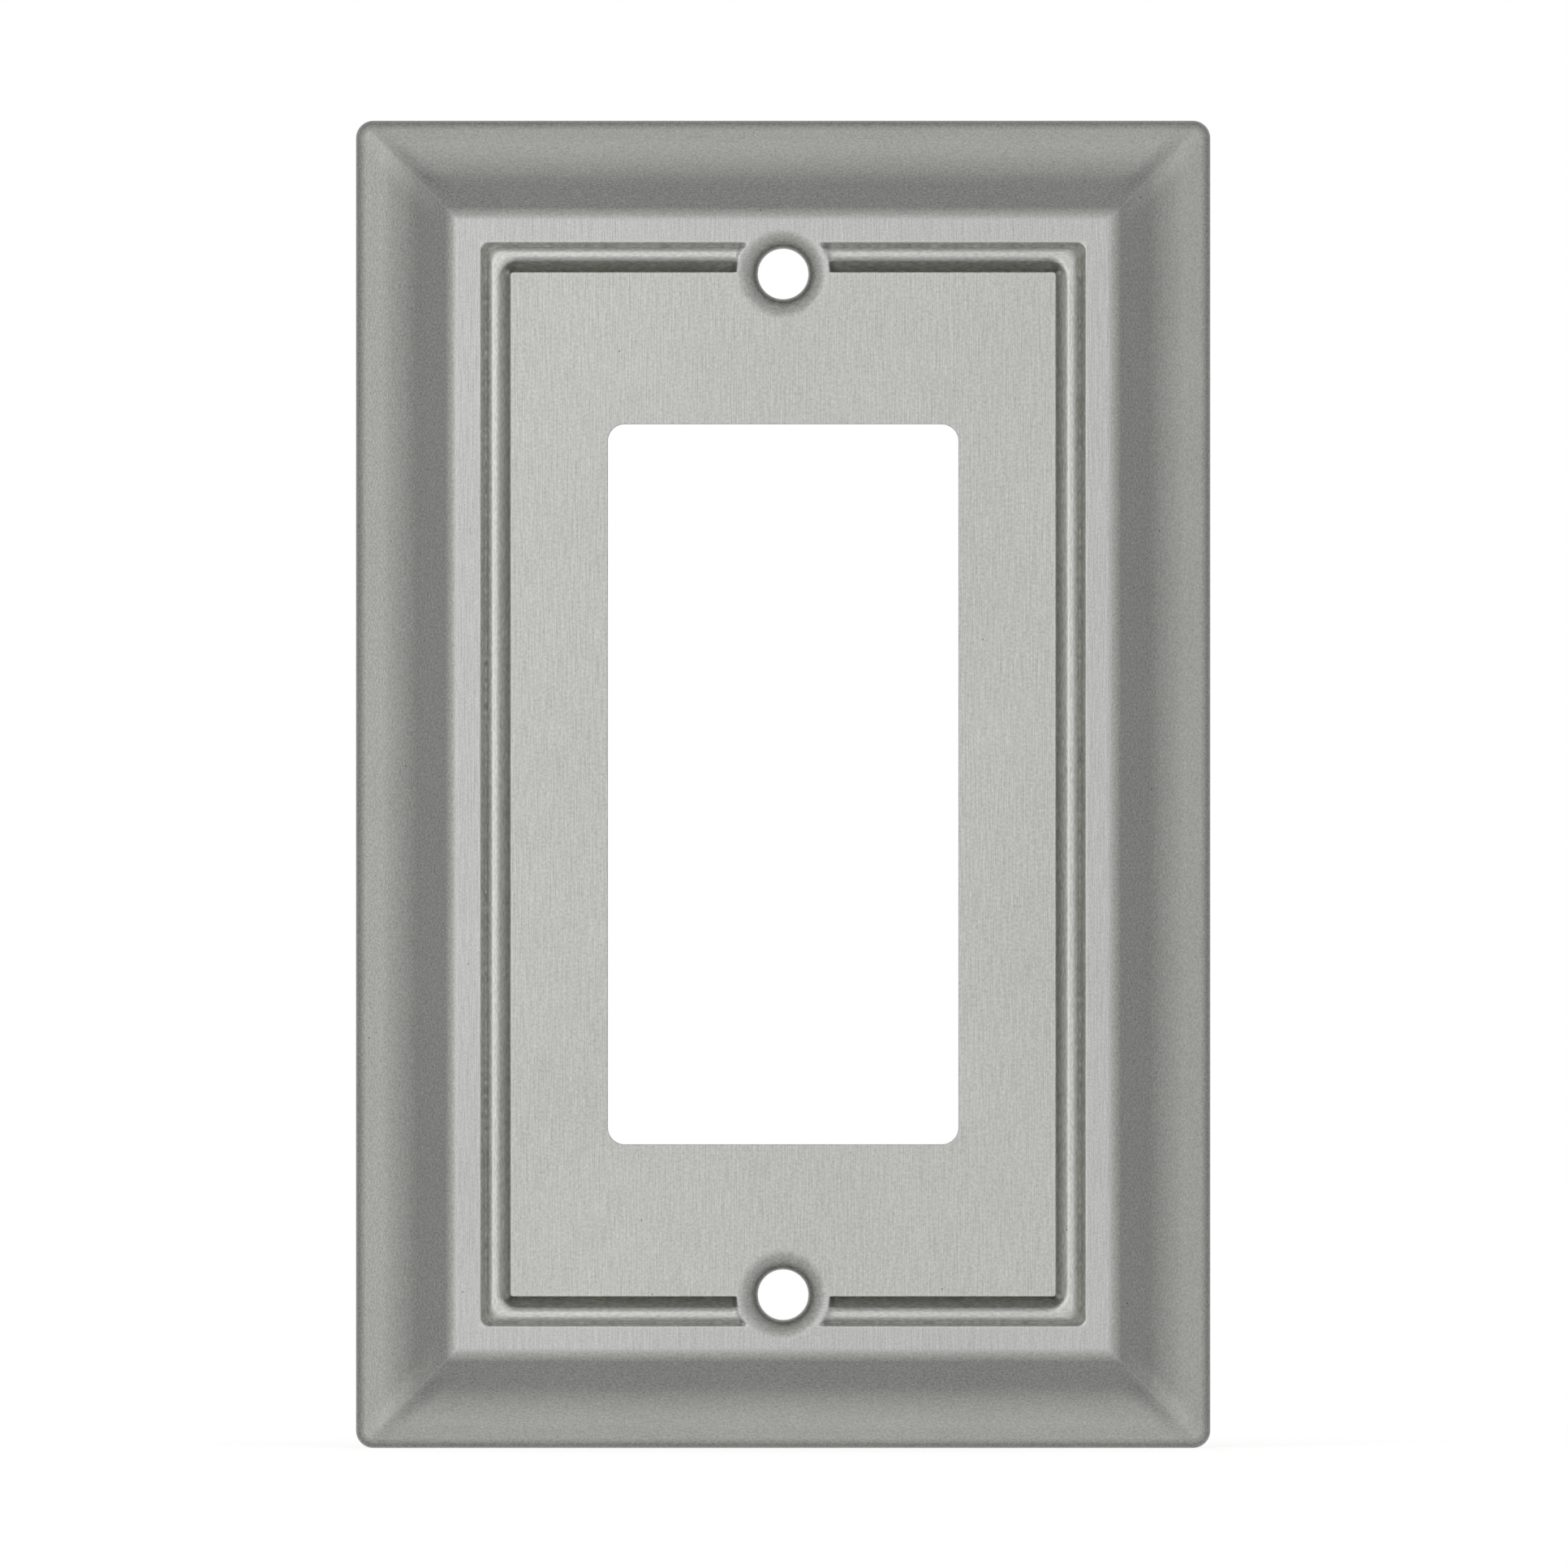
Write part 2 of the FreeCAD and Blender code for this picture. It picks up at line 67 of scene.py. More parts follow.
# How finely the surface is divided
RIM_STEPS, COVE_STEPS, CREST_STEPS, CHANNEL_EDGE_STEPS = 10, 14, 12, 6
BREAK_STEPS, BEAD_STEPS, CORE_STEPS, BELL_STEPS = 3, 9, 3, 22
PANEL_ROWS, BORE_RINGS, FLAT_RINGS, BOSS_RINGS, ROOT_RINGS = 15, 6, 3, 4, 3
CORNER_STEPS, SIDE_STEPS, HOLE_STEPS, RUN_OUT_STEPS, END_STEPS = 10, 30, 26, 24, 8

# Along the plate's ends, places crowd towards a hole by this power. The crowding starts this far
# from the hole's middle, in radii of the circle round its boss.
RUN_OUT_CROWDING = 1.5
CROWDING_REACH = 2.0

# How far the window in front reaches beyond the bell, and the circle and the window behind beyond
# the boss, in widths of the land between bell and collar
FRONT_WINDOW, BACK_CIRCLE, BACK_WINDOW = 3, 2, 5

# Straight run that leads into the bell in a hole's section
LEAD_IN = 1.0 * MM

# Patterns of the finish. Noise lies about its middle and takes finer layers by its detail.
NOISE_MIDDLE = 0.5
FINE_DETAIL = 3.0
CLOUD_DETAIL = 1.0
RAGGED_SIZE = 0.8 * MM
RAGGED_DEPTH = 0.06 * MM
BRUSH_FADE = 0.08 * MM
MOULDING_STRETCH = 0.3
CHANNEL_STRETCH = 1.8
MOULDING_FINENESS = 0.6
PIT_SPACING = 22.0 * MM
PIT_RADIUS = 0.1 * MM
PIT_CORE = 0.05 * MM
GRAIN_ROUGHNESS = 0.08
RELIEF_DEPTH = 0.03 * MM
CHANNEL_RELIEF = 0.018 * MM

# Tones, as shares of the metal's own brightness. The edge, bead, mitre and cove tones are painted
# highlight and shade. The grain's grows with the steepness up to the most, and at the rim the
# mitres' bands keep a share of theirs.
CLOUD_TONE = 0.09
FLAT_GRAIN_TONE = 0.68
SLOPE_GRAIN_TONE = 0.72
STEEP_GRAIN_TONE = 1.9
MOST_STEEP = 0.3
STREAK_TONE = 0.34
PAINTED_EDGE_HIGHLIGHT_TONE = 0.1
BEAD_HIGHLIGHT_TONE = 0.03
MITRE_HIGHLIGHT_TONE = 0.2
MITRE_SHADE_TONE = 0.1
MITRE_RIM_SHARE = 0.3
COVE_LIGHT_TONE = 0.11

# Where the painted highlights and shade, and the bead's smoother top, start and end: in from an edge,
# down the bead, past the mitre's line towards the plate's end, and out from the platform
EDGE_HIGHLIGHT_REACH = 0.35 * MM
BEAD_SHINE_DEPTH = 0.12 * MM
MITRE_HIGHLIGHT_BAND = (-2.8 * MM, -0.9 * MM)
MITRE_LINE = (-0.4 * MM, 0.9 * MM)
MITRE_SHADE_BAND = (1.1 * MM, 3.0 * MM)
MITRE_INNER_FADE = (1.0 * MM, 4.8 * MM)
MITRE_OUTER_FADE = (6.0 * MM, 8.6 * MM)
COVE_INNER_FADE = (3.0 * MM, 4.4 * MM)
COVE_OUTER_FADE = (6.0 * MM, 8.2 * MM)

# Degrees away from the front, with the setting that holds the light's level there
LIGHT_STOPS = (
    (0, "front_level"), (36, "near_level"), (50, "slant_level"), (68, "slant_level"),
    (90, "side_level"), (115, "side_level"), (180, "back_level"),
)

# Each lamp's name, which its setting has too, its middle and its side, in metres
LAMPS = (("wide_lamp", (-0.25, -0.5, 0.0), 0.4), ("close_lamp", (-0.135, -0.5, 0.04), 0.24))

# Highest level that a light may have, half the floor's side in metres, how much the floor is
# lifted towards white, and how deep the view goes, in distances from the camera to the plate
BRIGHTEST = 4.0
FLOOR_REACH = 4.0
FLOOR_LIFT = 0.6
VIEW_DEPTH = 10.0


# Sizes and colours that a user can change
def length(label, description, millimetres):
    """A length, given in millimetres and kept in metres."""
    return FloatProperty(
        name=label, description=description, default=millimetres * MM, min=0.0, precision=5,
        subtype="DISTANCE", unit="LENGTH",
    )


def angle(label, description, degrees):
    """An angle, given in degrees and kept in radians."""
    return FloatProperty(
        name=label, description=description, default=math.radians(degrees), min=0.0,
        subtype="ANGLE", unit="ROTATION",
    )


def level(label, description, value, highest=1.0):
    """A plain number from nought to the highest."""
    return FloatProperty(
        name=label, description=description, default=value, min=0.0, max=highest, subtype="FACTOR"
    )


def colour(label, description, value):
    """A colour, in linear red, green and blue."""
    return FloatVectorProperty(
        name=label, description=description, default=value, min=0.0, max=1.0, size=3, subtype="COLOR"
    )


class PlateSizes(PropertyGroup):
    """The plate's front and back. Its outline and depth come from the frame."""

    moulding_width: length("Moulding width", "From the platform's edge to the plate's side", 9.78)
    end_trim: length("End trim", "How much narrower it is at the plate's ends", 0.25)
    corner_radius: length("Corner radius", "The plate's four corners, from the front", 1.65)
    rim_radius: length("Rim radius", "Rounding of the outer edge", 1.3)
    crest_radius: length("Crest radius", "Rounding from the platform into the steep fall", 1.8)
    steep_angle: angle("Steep fall", "Slope below the crest", 45.0)
    steep_run: length("Steep run", "Width of its straight part", 2.68)
    cove_run: length("Cove run", "Width of the cove below the steep fall", 3.3)
    low_angle: angle("Low slope", "Slope from the cove to the rim", 18.0)
    mitre_radius: length("Mitre radius", "Rounding where two mouldings meet", 0.15)
    crisp_radius: length("Crisp corner", "Corners that are nearly sharp", 0.08)
    platform_border: length("Platform border", "Flat between the crest and the channel", 2.1)
    channel_gap: length("Channel width", "From the platform to the panel", 2.8)
    channel_corner_radius: length("Channel corner", "Corner of the channel's outer wall", 0.8)
    panel_corner_radius: length("Panel corner", "Corner of the panel beside the channel", 0.25)
    channel_edge_radius: length("Channel edge", "Rounding where the platform ends", 0.2)
    outer_quirk_run: length("Outer quirk run", "From the channel's edge to its outer root", 0.5)
    outer_side_depth: length("Outer quirk, sides", "Depth of that root at the plate's sides", 0.68)
    outer_end_depth: length("Outer quirk, ends", "Depth of that root at the plate's ends", 0.5)
    inner_side_depth: length("Inner quirk, sides", "Depth beside the panel at the sides", 0.8)
    inner_end_depth: length("Inner quirk, ends", "Depth beside the panel at the ends", 1.4)
    panel_edge_radius: length("Panel edge", "Rounding of the panel's edge", 0.08)
    root_radius: length("Root radius", "Rounding of the two roots", 0.01)
    root_corner_radius: length("Root corner", "Corner of the outer root, from the front", 0.9)
    bead_outer_run: length("Bead outer run", "Width of the bead's outer slope", 0.415)
    bead_width: length("Bead width", "Width of the bead's top, before its rounding", 0.8)
    bead_end_shift: length("Bead end shift", "How much further out it lies at the ends", 0.18)
    bead_drop: length("Bead drop", "How far the bead's top lies below the face", 0.15)
    bead_outer_radius: length("Bead outer radius", "Rounding of the bead's outer side", 0.65)
    bead_inner_radius: length("Bead inner radius", "Rounding of the bead's inner side", 0.85)
    bead_outer_corner: length("Bead outer corner", "Corner of its outer side, from the front", 1.1)
    bead_inner_corner: length("Bead inner corner", "Corner of its inner side, from the front", 1.9)
    edge_break: length("Edge break", "Small rounding of edges and of the roots of walls", 0.12)
    opening_width: length("Opening width", "Across the rocker opening", 33.25)
    opening_height: length("Opening height", "Up the rocker opening", 68.3)
    opening_corner_radius: length("Opening corner", "Corners of the rocker opening", 1.6)
    opening_break: length("Opening edge", "Rounding of the opening's front edge", 0.05)
    screw_spacing: length("Screw spacing", "Between the two screw holes", 96.84)
    hole_radius: length("Hole radius", "Bore of a screw hole", 2.4)
    bell_radius: length("Bell radius", "Mouth of a screw hole at the face", 4.35)
    collar_radius: length("Collar radius", "Round land that stops the channel at a hole", 4.37)
    run_out: length("Run-out", "From the collar to the channel's full depth", 0.6)
    wall_thickness: length("Wall", "Thickness of the cast wall", 2.1)
    core_corner_radius: length("Hollow corner", "Corner from the hollow's ceiling to its slope", 0.6)
    boss_radius: length("Boss radius", "Boss behind a screw hole", 5.0)
    boss_edge_radius: length("Boss edge", "Rounding of the boss's outer edge", 0.24)
    strap_gap: length("Strap gap", "From the boss's end to the wall", 1.6)


class FinishColours(PropertyGroup):
    """Satin nickel, brushed on the flats and matt where the brush didn't reach."""

    nickel: colour("Nickel", "The plate's own colour", (0.505, 0.51, 0.483))
    border_nickel: colour("Platform nickel", "Flat round the channel", (0.505, 0.507, 0.494))
    speck: colour("Specks", "Tiny pits in the plating", (0.2, 0.2, 0.19))
    flat_roughness: level("Flat roughness", "Roughness of the brushed flats", 0.36)
    slope_roughness: level("Slope roughness", "Roughness of the mouldings", 0.4)
    bead_roughness: level("Bead roughness", "Roughness of the bead's rubbed top", 0.26)
    streak_width: length("Streak width", "Width of a brush mark", 0.16)
    streak_length: length("Streak length", "Length of a brush mark", 3.2)
    grain_size: length("Grain", "Size of the mottle in the plating", 0.26)
    cloud_size: length("Clouds", "Size of the faint tone changes", 14.0)


class StudioSettings(PropertyGroup):
    """Camera, light and floor."""

    focal_length: FloatProperty(
        name="Lens", description="Long lens, nearly without perspective", default=1500.0, min=1.0,
        subtype="DISTANCE_CAMERA", unit="CAMERA",
    )
    picture_width: length("Picture width", "Real width of the picture at the plate's face", 148.683)
    offset_right: length("Offset to the right", "How far right of the plate's middle it looks", 0.081)
    offset_up: length("Offset up", "How far above the plate's middle it looks", 0.031)
    floor: colour("Floor", "Pale floor that the plate stands on", (0.86, 0.86, 0.855))
    background: colour("Background", "What the camera sees behind the plate", (1.0, 1.0, 1.0))
    front_level: level("Front level", "Light from straight in front", 1.015, BRIGHTEST)
    near_level: level("Near level", "Light from a little beside the front", 0.7, BRIGHTEST)
    slant_level: level("Slant level", "Light from halfway to the sides", 0.58, BRIGHTEST)
    side_level: level("Side level", "Light from the sides", 0.335, BRIGHTEST)
    back_level: level("Back level", "Light from the white background", 1.0, BRIGHTEST)
    right_dimming: level("Right dimming", "How much less light comes from the far right", 0.05)
    wide_lamp: level("Wide lamp", "Radiance of the lamp at the left", 0.04, BRIGHTEST)
    close_lamp: level("Close lamp", "Radiance of the lamp near the middle", 0.6, BRIGHTEST)


# Sections
def turn_at(corners, i):
    """How far a run of places turns at corner i, in radians, and the two straight runs there."""
    before = np.subtract(corners[i][:2], corners[i - 1][:2])
    after = np.subtract(corners[i + 1][:2], corners[i][:2])
    turn = math.atan2(before[0] * after[1] - before[1] * after[0], before @ after)
    return turn, before, after


def rounded_section(corners, hold):
    """Places that run straight from corner to corner and turn each in an arc.

    Each corner is (out, height, radius, steps). Its arc touches both runs at the radius times the
    tangent of half the turn from the corner. One more place lies on each run beside the arc, at the
    distance hold or at a third of the run's free length, whichever is less, which keeps the flat
    beside the arc flat.
    """
    last = len(corners) - 1
    reach = [0.0] * len(corners)
    for i in range(1, last):
        turn = turn_at(corners, i)[0]
        reach[i] = corners[i][2] * math.tan(abs(turn) / 2)
    places = []
    for i, (out, height, radius, steps) in enumerate(corners):
        corner = np.array((out, height))
        if reach[i] == 0:
            places.append(corner[None])
            continue
        turn, before, after = turn_at(corners, i)
        free_before = np.hypot(*before) - reach[i] - reach[i - 1]
        free_after = np.hypot(*after) - reach[i] - reach[i + 1]
        before, after = before / np.hypot(*before), after / np.hypot(*after)
        start = corner - before * reach[i]
        centre = start + math.copysign(radius, turn) * np.array((-before[1], before[0]))
        spoke = start - centre
        swing = np.linspace(0, turn, steps + 1)
        arc = centre + np.stack((
            spoke[0] * np.cos(swing) - spoke[1] * np.sin(swing),
            spoke[0] * np.sin(swing) + spoke[1] * np.cos(swing),
        ), axis=1)
        places.append((arc[0] - before * min(hold, free_before / 3))[None])
        places.append(arc)
        places.append((arc[-1] + after * min(hold, free_after / 3))[None])
    return np.concatenate(places)


def straight(start, end, height, count):
    """Evenly spaced corners with no rounding, along a flat."""
    return [(out, height, 0.0, 0) for out in np.linspace(start, end, count)]


class Layout:
    """Places that the sections, the holes and the finish share, worked out from the sizes."""

    def __init__(self, sizes):
        self.sizes = sizes
        self.face = CAD_HIGH.y - CAD_LOW.y
        self.ceiling = self.face - sizes.wall_thickness
        self.hold = sizes.edge_break / 2
        self.hole_z = sizes.screw_spacing / 2

        # Half widths and half heights, across and up the plate
        self.edge = np.array((CAD_HIGH.x, CAD_HIGH.z))
        self.platform = self.edge - sizes.moulding_width + np.array((0.0, sizes.end_trim))
        self.channel = self.platform - sizes.platform_border
        self.panel = self.channel - sizes.channel_gap
        self.opening = np.array((sizes.opening_width, sizes.opening_height)) / 2

        # The circles that the grid keeps to at a hole, and how far the windows round them reach
        land = sizes.collar_radius - sizes.bell_radius
        self.front_circle = sizes.collar_radius
        self.front_reach = sizes.bell_radius + FRONT_WINDOW * land
        self.back_circle = sizes.boss_radius + BACK_CIRCLE * land
        self.back_reach = sizes.boss_radius + BACK_WINDOW * land

    def moulding(self, inset):
        """The two corners that the moulding's section turns at, out from the platform and below the face.

        The section falls steeply from the crest, turns in a cove and goes on as a low slope. Behind
        the face it is moved in by the inset, square to each stretch. Also gives the cove's radius
        and both ends of its arc.
        """
        sizes = self.sizes
        steep, low = sizes.steep_angle, sizes.low_angle
        crest_out = (sizes.crest_radius - inset) * math.tan(steep / 2)
        steep_end = (sizes.crest_radius - inset) * math.sin(steep) + sizes.steep_run
        cove_start = sizes.crest_radius * math.sin(steep) + sizes.steep_run
        cove_end = cove_start + sizes.cove_run - inset * math.sin(low)
        radius = (cove_end - steep_end) / (math.sin(steep) - math.sin(low))
        cove_out = steep_end + radius * math.tan((steep - low) / 2) * math.cos(steep)
        cove_fall = inset + (cove_out - crest_out) * math.tan(steep)
        return crest_out, cove_out, cove_fall, radius, (steep_end, cove_end)


def channel_corners(layout, axis):
    """The channel's section: a V-shaped groove, the bead, and a slope down to the panel's wall."""
    sizes, face, channel = layout.sizes, layout.face, layout.channel[axis]
    shift, outer_depth, inner_depth = (
        (0.0, sizes.outer_side_depth, sizes.inner_side_depth),
        (sizes.bead_end_shift, sizes.outer_end_depth, sizes.inner_end_depth),
    )[axis]
    top = face - sizes.bead_drop
    root = channel - sizes.outer_quirk_run + shift
    bead_out = root - sizes.bead_outer_run
    bead_in = bead_out - sizes.bead_width
    panel = channel - sizes.channel_gap
    return [
        (channel, face, sizes.channel_edge_radius, CHANNEL_EDGE_STEPS),
        (root, face - outer_depth, sizes.root_radius, BREAK_STEPS),
        (bead_out, top, sizes.bead_outer_radius, BEAD_STEPS),
        (bead_in, top, sizes.bead_inner_radius, BEAD_STEPS),
        (panel, face - inner_depth, sizes.root_radius, BREAK_STEPS),
        (panel, face, sizes.panel_edge_radius, BREAK_STEPS),
    ]


def plate_section(layout, axis):
    """The plate's closed section at its sides (axis 0) or its ends (axis 1), as five stretches.

    They run from the middle of the foot up the outer wall and the moulding, over the channel and the
    panel beside the holes, through the opening, along the hollow beside the bosses, and down its
    slope to the foot again. Every stretch has as many places at the sides as at the ends, and the
    second and the fourth as many each.
    """
    sizes, face, ceiling, hold = layout.sizes, layout.face, layout.ceiling, layout.hold
    edge, platform, panel, opening = (
        places[axis] for places in (layout.edge, layout.platform, layout.panel, layout.opening)
    )
    low = math.tan(sizes.low_angle)

    # Moulding and hollow, from their corners
    crest, cove, cove_fall, cove_radius, _ = layout.moulding(0.0)
    core_crest, core_cove, core_fall, core_radius, _ = layout.moulding(sizes.wall_thickness)
    edge_height = face - cove_fall - (edge - platform - cove) * low
    foot_in = platform + core_cove + (face - core_fall) / low
    foot_middle = (foot_in + edge) / 2

    # Limits of the stretches beside the holes
    front_outer = platform + layout.hole_z + layout.front_reach - layout.platform[1]
    front_inner_z = layout.hole_z - layout.front_reach
    past_panel = (layout.panel[1] - front_inner_z) / (layout.panel[1] - layout.opening[1])
    front_inner = panel - past_panel * (panel - opening)
    back_outer = platform + layout.hole_z + layout.back_reach - layout.platform[1]
    core_end = layout.platform[1] + core_crest
    back_inner_z = layout.hole_z - layout.back_reach
    past_core = (core_end - back_inner_z) / (core_end - layout.opening[1])
    back_inner = platform + core_crest - past_core * (platform + core_crest - opening)
    back_outer_height = ceiling - (back_outer - platform - core_crest) * math.tan(sizes.steep_angle)

    front_start = (front_outer, face, 0.0, 0)
    rise = rounded_section([
        (foot_middle, 0.0, 0.0, 0),
        (edge, 0.0, hold, BREAK_STEPS),
        (edge, edge_height, sizes.rim_radius, RIM_STEPS),
        (platform + cove, face - cove_fall, cove_radius, COVE_STEPS),
        (platform + crest, face, sizes.crest_radius, CREST_STEPS),
        front_start,
    ], hold)[:-1]
    panel_flat = panel - 2 * sizes.edge_break
    across = rounded_section([
        front_start,
        *channel_corners(layout, axis),
        *straight(panel_flat, front_inner, face, PANEL_ROWS),
    ], hold)
    through = rounded_section([
        (front_inner, face, 0.0, 0),
        ((front_inner + opening) / 2, face, 0.0, 0),
        (opening, face, sizes.opening_break, BREAK_STEPS),
        (opening, ceiling, sizes.edge_break, BREAK_STEPS),
        ((back_inner + opening) / 2, ceiling, 0.0, 0),
        (back_inner, ceiling, 0.0, 0),
    ], hold)[1:-1]
    core_corners = [
        (platform + core_crest, ceiling, sizes.core_corner_radius, CORE_STEPS),
        (back_outer, back_outer_height, 0.0, 0),
    ]
    flat_end = platform + core_crest - sizes.core_corner_radius
    shortest = rounded_section(straight(back_inner, flat_end, ceiling, 1) + core_corners, hold)
    ceiling_rows = len(across) - len(shortest) + 1
    behind = rounded_section(straight(back_inner, flat_end, ceiling, ceiling_rows) + core_corners, hold)
    fall = rounded_section([
        (back_outer, back_outer_height, 0.0, 0),
        (platform + core_cove, face - core_fall, core_radius, COVE_STEPS),
        (foot_in, 0.0, 0.0, 0),
        (foot_middle, 0.0, 0.0, 0),
    ], hold)[1:-1]
    return rise, across, through, behind, fall


def corner_radii(layout, out, is_front):
    """How widely each row of the surface turns the plate's corners, from its place out at the sides.

    It is the plate's own radius less the distance in from the rim, the mitre's radius times the sine
    of the slope on the moulding, and in the channel and the opening what their walls have. It
    changes evenly in between.
    """
    sizes = layout.sizes
    edge, platform, channel, panel, opening = (
        places[0] for places in (layout.edge, layout.platform, layout.channel, layout.panel, layout.opening)
    )
    steep_end, cove_end = layout.moulding(0.0)[4]
    crest_end = sizes.crest_radius * math.sin(sizes.steep_angle)
    rim_in = sizes.rim_radius * (1 - math.sin(sizes.low_angle))
    root = channel - sizes.outer_quirk_run
    bead_out = root - sizes.bead_outer_run
    bead_in = bead_out - sizes.bead_width
    steep_hip, low_hip = (
        sizes.mitre_radius * math.sin(slope) for slope in (sizes.steep_angle, sizes.low_angle)
    )
    front = [
        (opening, sizes.opening_corner_radius),
        (opening + sizes.opening_break, sizes.opening_corner_radius + sizes.opening_break),
        (panel, sizes.panel_corner_radius),
        (bead_in, sizes.bead_inner_corner),
        (bead_out, sizes.bead_outer_corner),
        (root, sizes.root_corner_radius),
        (channel, sizes.channel_corner_radius),
        (platform, sizes.crisp_radius),
        (platform + crest_end, steep_hip),
        (platform + steep_end, steep_hip),
        (platform + cove_end, low_hip),
        (edge - rim_in, sizes.corner_radius - rim_in),
        (edge, sizes.corner_radius),
    ]
    back = [
        (opening, sizes.opening_corner_radius),
        (platform, sizes.crisp_radius),
        (edge - sizes.corner_radius, sizes.crisp_radius),
        (edge, sizes.corner_radius),
    ]
    return np.where(is_front, np.interp(out, *zip(*front)), np.interp(out, *zip(*back)))


# Surface
def smooth_step(share):
    """A smooth rise from nought to one: three times the share's square less twice its cube."""
    return share * share * (3 - 2 * share)


class Grid:
    """The surface as rows that each go once round the plate, one for every place of its section.

    A row is a rectangle with round corners. Along the plate's ends its places crowd towards the
    holes: in the middle they keep to the circle that a hole's own surface starts from, so that the
    channel ends square to it.
    """

    def __init__(self, layout):
        sides, ends = plate_section(layout, 0), plate_section(layout, 1)
        counts = [len(stretch) for stretch in sides]
        self.starts = np.cumsum([0] + counts)
        side, end = np.concatenate(sides), np.concatenate(ends)
        row = np.arange(len(side))
        is_front = row < self.starts[2] + counts[2] // 2
        radius = corner_radii(layout, side[:, 0], is_front)[:, None]
        half_x, half_z = side[:, :1] - radius, end[:, :1] - radius

        # Right side going up, corner, upper end going left, corner; the rest is this turned half round
        up = np.linspace(-1, 1, SIDE_STEPS + 1)[1:-1]
        sweep = np.linspace(0, math.pi / 2, CORNER_STEPS + 1)
        end_x = self.end_places(layout, half_x, end[:, :1], is_front[:, None])
        width = end_x.shape[1]
        x = np.hstack((
            np.repeat(side[:, :1], len(up), axis=1),
            half_x + radius * np.cos(sweep),
            end_x,
            -half_x - radius * np.sin(sweep),
        ))
        z = np.hstack((
            half_z * up,
            half_z + radius * np.sin(sweep),
            np.repeat(end[:, :1], width, axis=1),
            half_z + radius * np.cos(sweep),
        ))
        lean = np.concatenate((
            np.zeros(len(up)), np.sin(sweep) ** 2, np.ones(width), np.cos(sweep) ** 2
        ))
        height = side[:, 1:] * (1 - lean) + end[:, 1:] * lean
        self.x, self.z = np.hstack((x, -x)), np.hstack((z, -z))
        self.height = self.run_out(layout, np.hstack((height, height)))
        self.end_section = end
        self.half_columns = x.shape[1]
        self.hole_column = len(up) + len(sweep) + (width - HOLE_STEPS) // 2

    def end_places(self, layout, half_x, end_z, is_front):
        """Places across the plate's upper end, from right to left, for every row.

        Beside the hole they start on its circle, at the square root of the circle's square less the
        row's distance from the hole squared, and no nearer than the circle's place at 45 degrees.
        """
        circle = np.where(is_front, layout.front_circle, layout.back_circle)
        rise = np.abs(end_z - layout.hole_z)
        block = np.sqrt(circle ** 2 - np.minimum(rise, circle * DIAGONAL) ** 2)
        run_out_end = CROWDING_REACH * layout.back_circle
        crowd = (np.arange(RUN_OUT_STEPS, 0, -1) / RUN_OUT_STEPS) ** RUN_OUT_CROWDING
        spread = np.arange(END_STEPS - 1, 0, -1) / END_STEPS
        right = np.hstack((
            run_out_end + (half_x - run_out_end) * spread,
            block + (run_out_end - block) * crowd,
        ))
        return np.hstack((right, block * np.linspace(1, -1, HOLE_STEPS + 1), -right[:, ::-1]))

    def run_out(self, layout, height):
        """Heights with the channel rising to the face, in a smooth step, as it nears a hole's collar."""
        from_hole = np.hypot(self.x, np.abs(self.z) - layout.hole_z) - layout.sizes.collar_radius
        share = smooth_step(np.clip(from_hole / layout.sizes.run_out, 0, 1))
        rows = slice(self.starts[1], self.starts[2])
        height[rows] = layout.face - (layout.face - height[rows]) * share[rows]
        return height

    def hole_border(self, outer, inner, column):
        """Numbers of the places round a hole: along the outer row, in, back along the inner row, out."""
        step = 1 if inner > outer else -1
        right = column + HOLE_STEPS
        across, down = np.arange(column, right), np.arange(outer, inner, step)
        rows = np.concatenate((
            np.full(len(across), outer), down, np.full(len(across), inner), down[::-1] + step
        ))
        columns = np.concatenate((
            across, np.full(len(down), right), across[::-1] + 1, np.full(len(down), column)
        ))
        return rows * self.x.shape[1] + columns


def hole_section(layout):
    """A screw hole's section from the face through the bell and the bore and round the boss's end.

    The bell is a quarter of a circle from the face to the bore. Out is measured from the hole's own
    axis. Also gives how far along the bore each place lies, from nought at its top to one at its end.
    """
    sizes, face = layout.sizes, layout.face
    bell = sizes.bell_radius - sizes.hole_radius
    throat = face - bell
    bore = np.linspace(throat, sizes.strap_gap, BORE_RINGS + 2)[1:-1]
    places = rounded_section([
        (sizes.bell_radius + LEAD_IN, face, 0.0, 0),
        (sizes.hole_radius, face, bell, BELL_STEPS),
        *((sizes.hole_radius, height, 0.0, 0) for height in bore),
        (sizes.hole_radius, sizes.strap_gap, sizes.edge_break, BREAK_STEPS),
        (sizes.boss_radius, sizes.strap_gap, sizes.boss_edge_radius, BREAK_STEPS),
        (sizes.boss_radius, layout.ceiling, 0.0, 0),
    ], layout.hold)
    along = np.clip((throat - places[:, 1]) / (throat - sizes.strap_gap), 0, 1)

    # The lead-in's two places and the boss's root are left out
    return places[2:-1], along[2:-1]


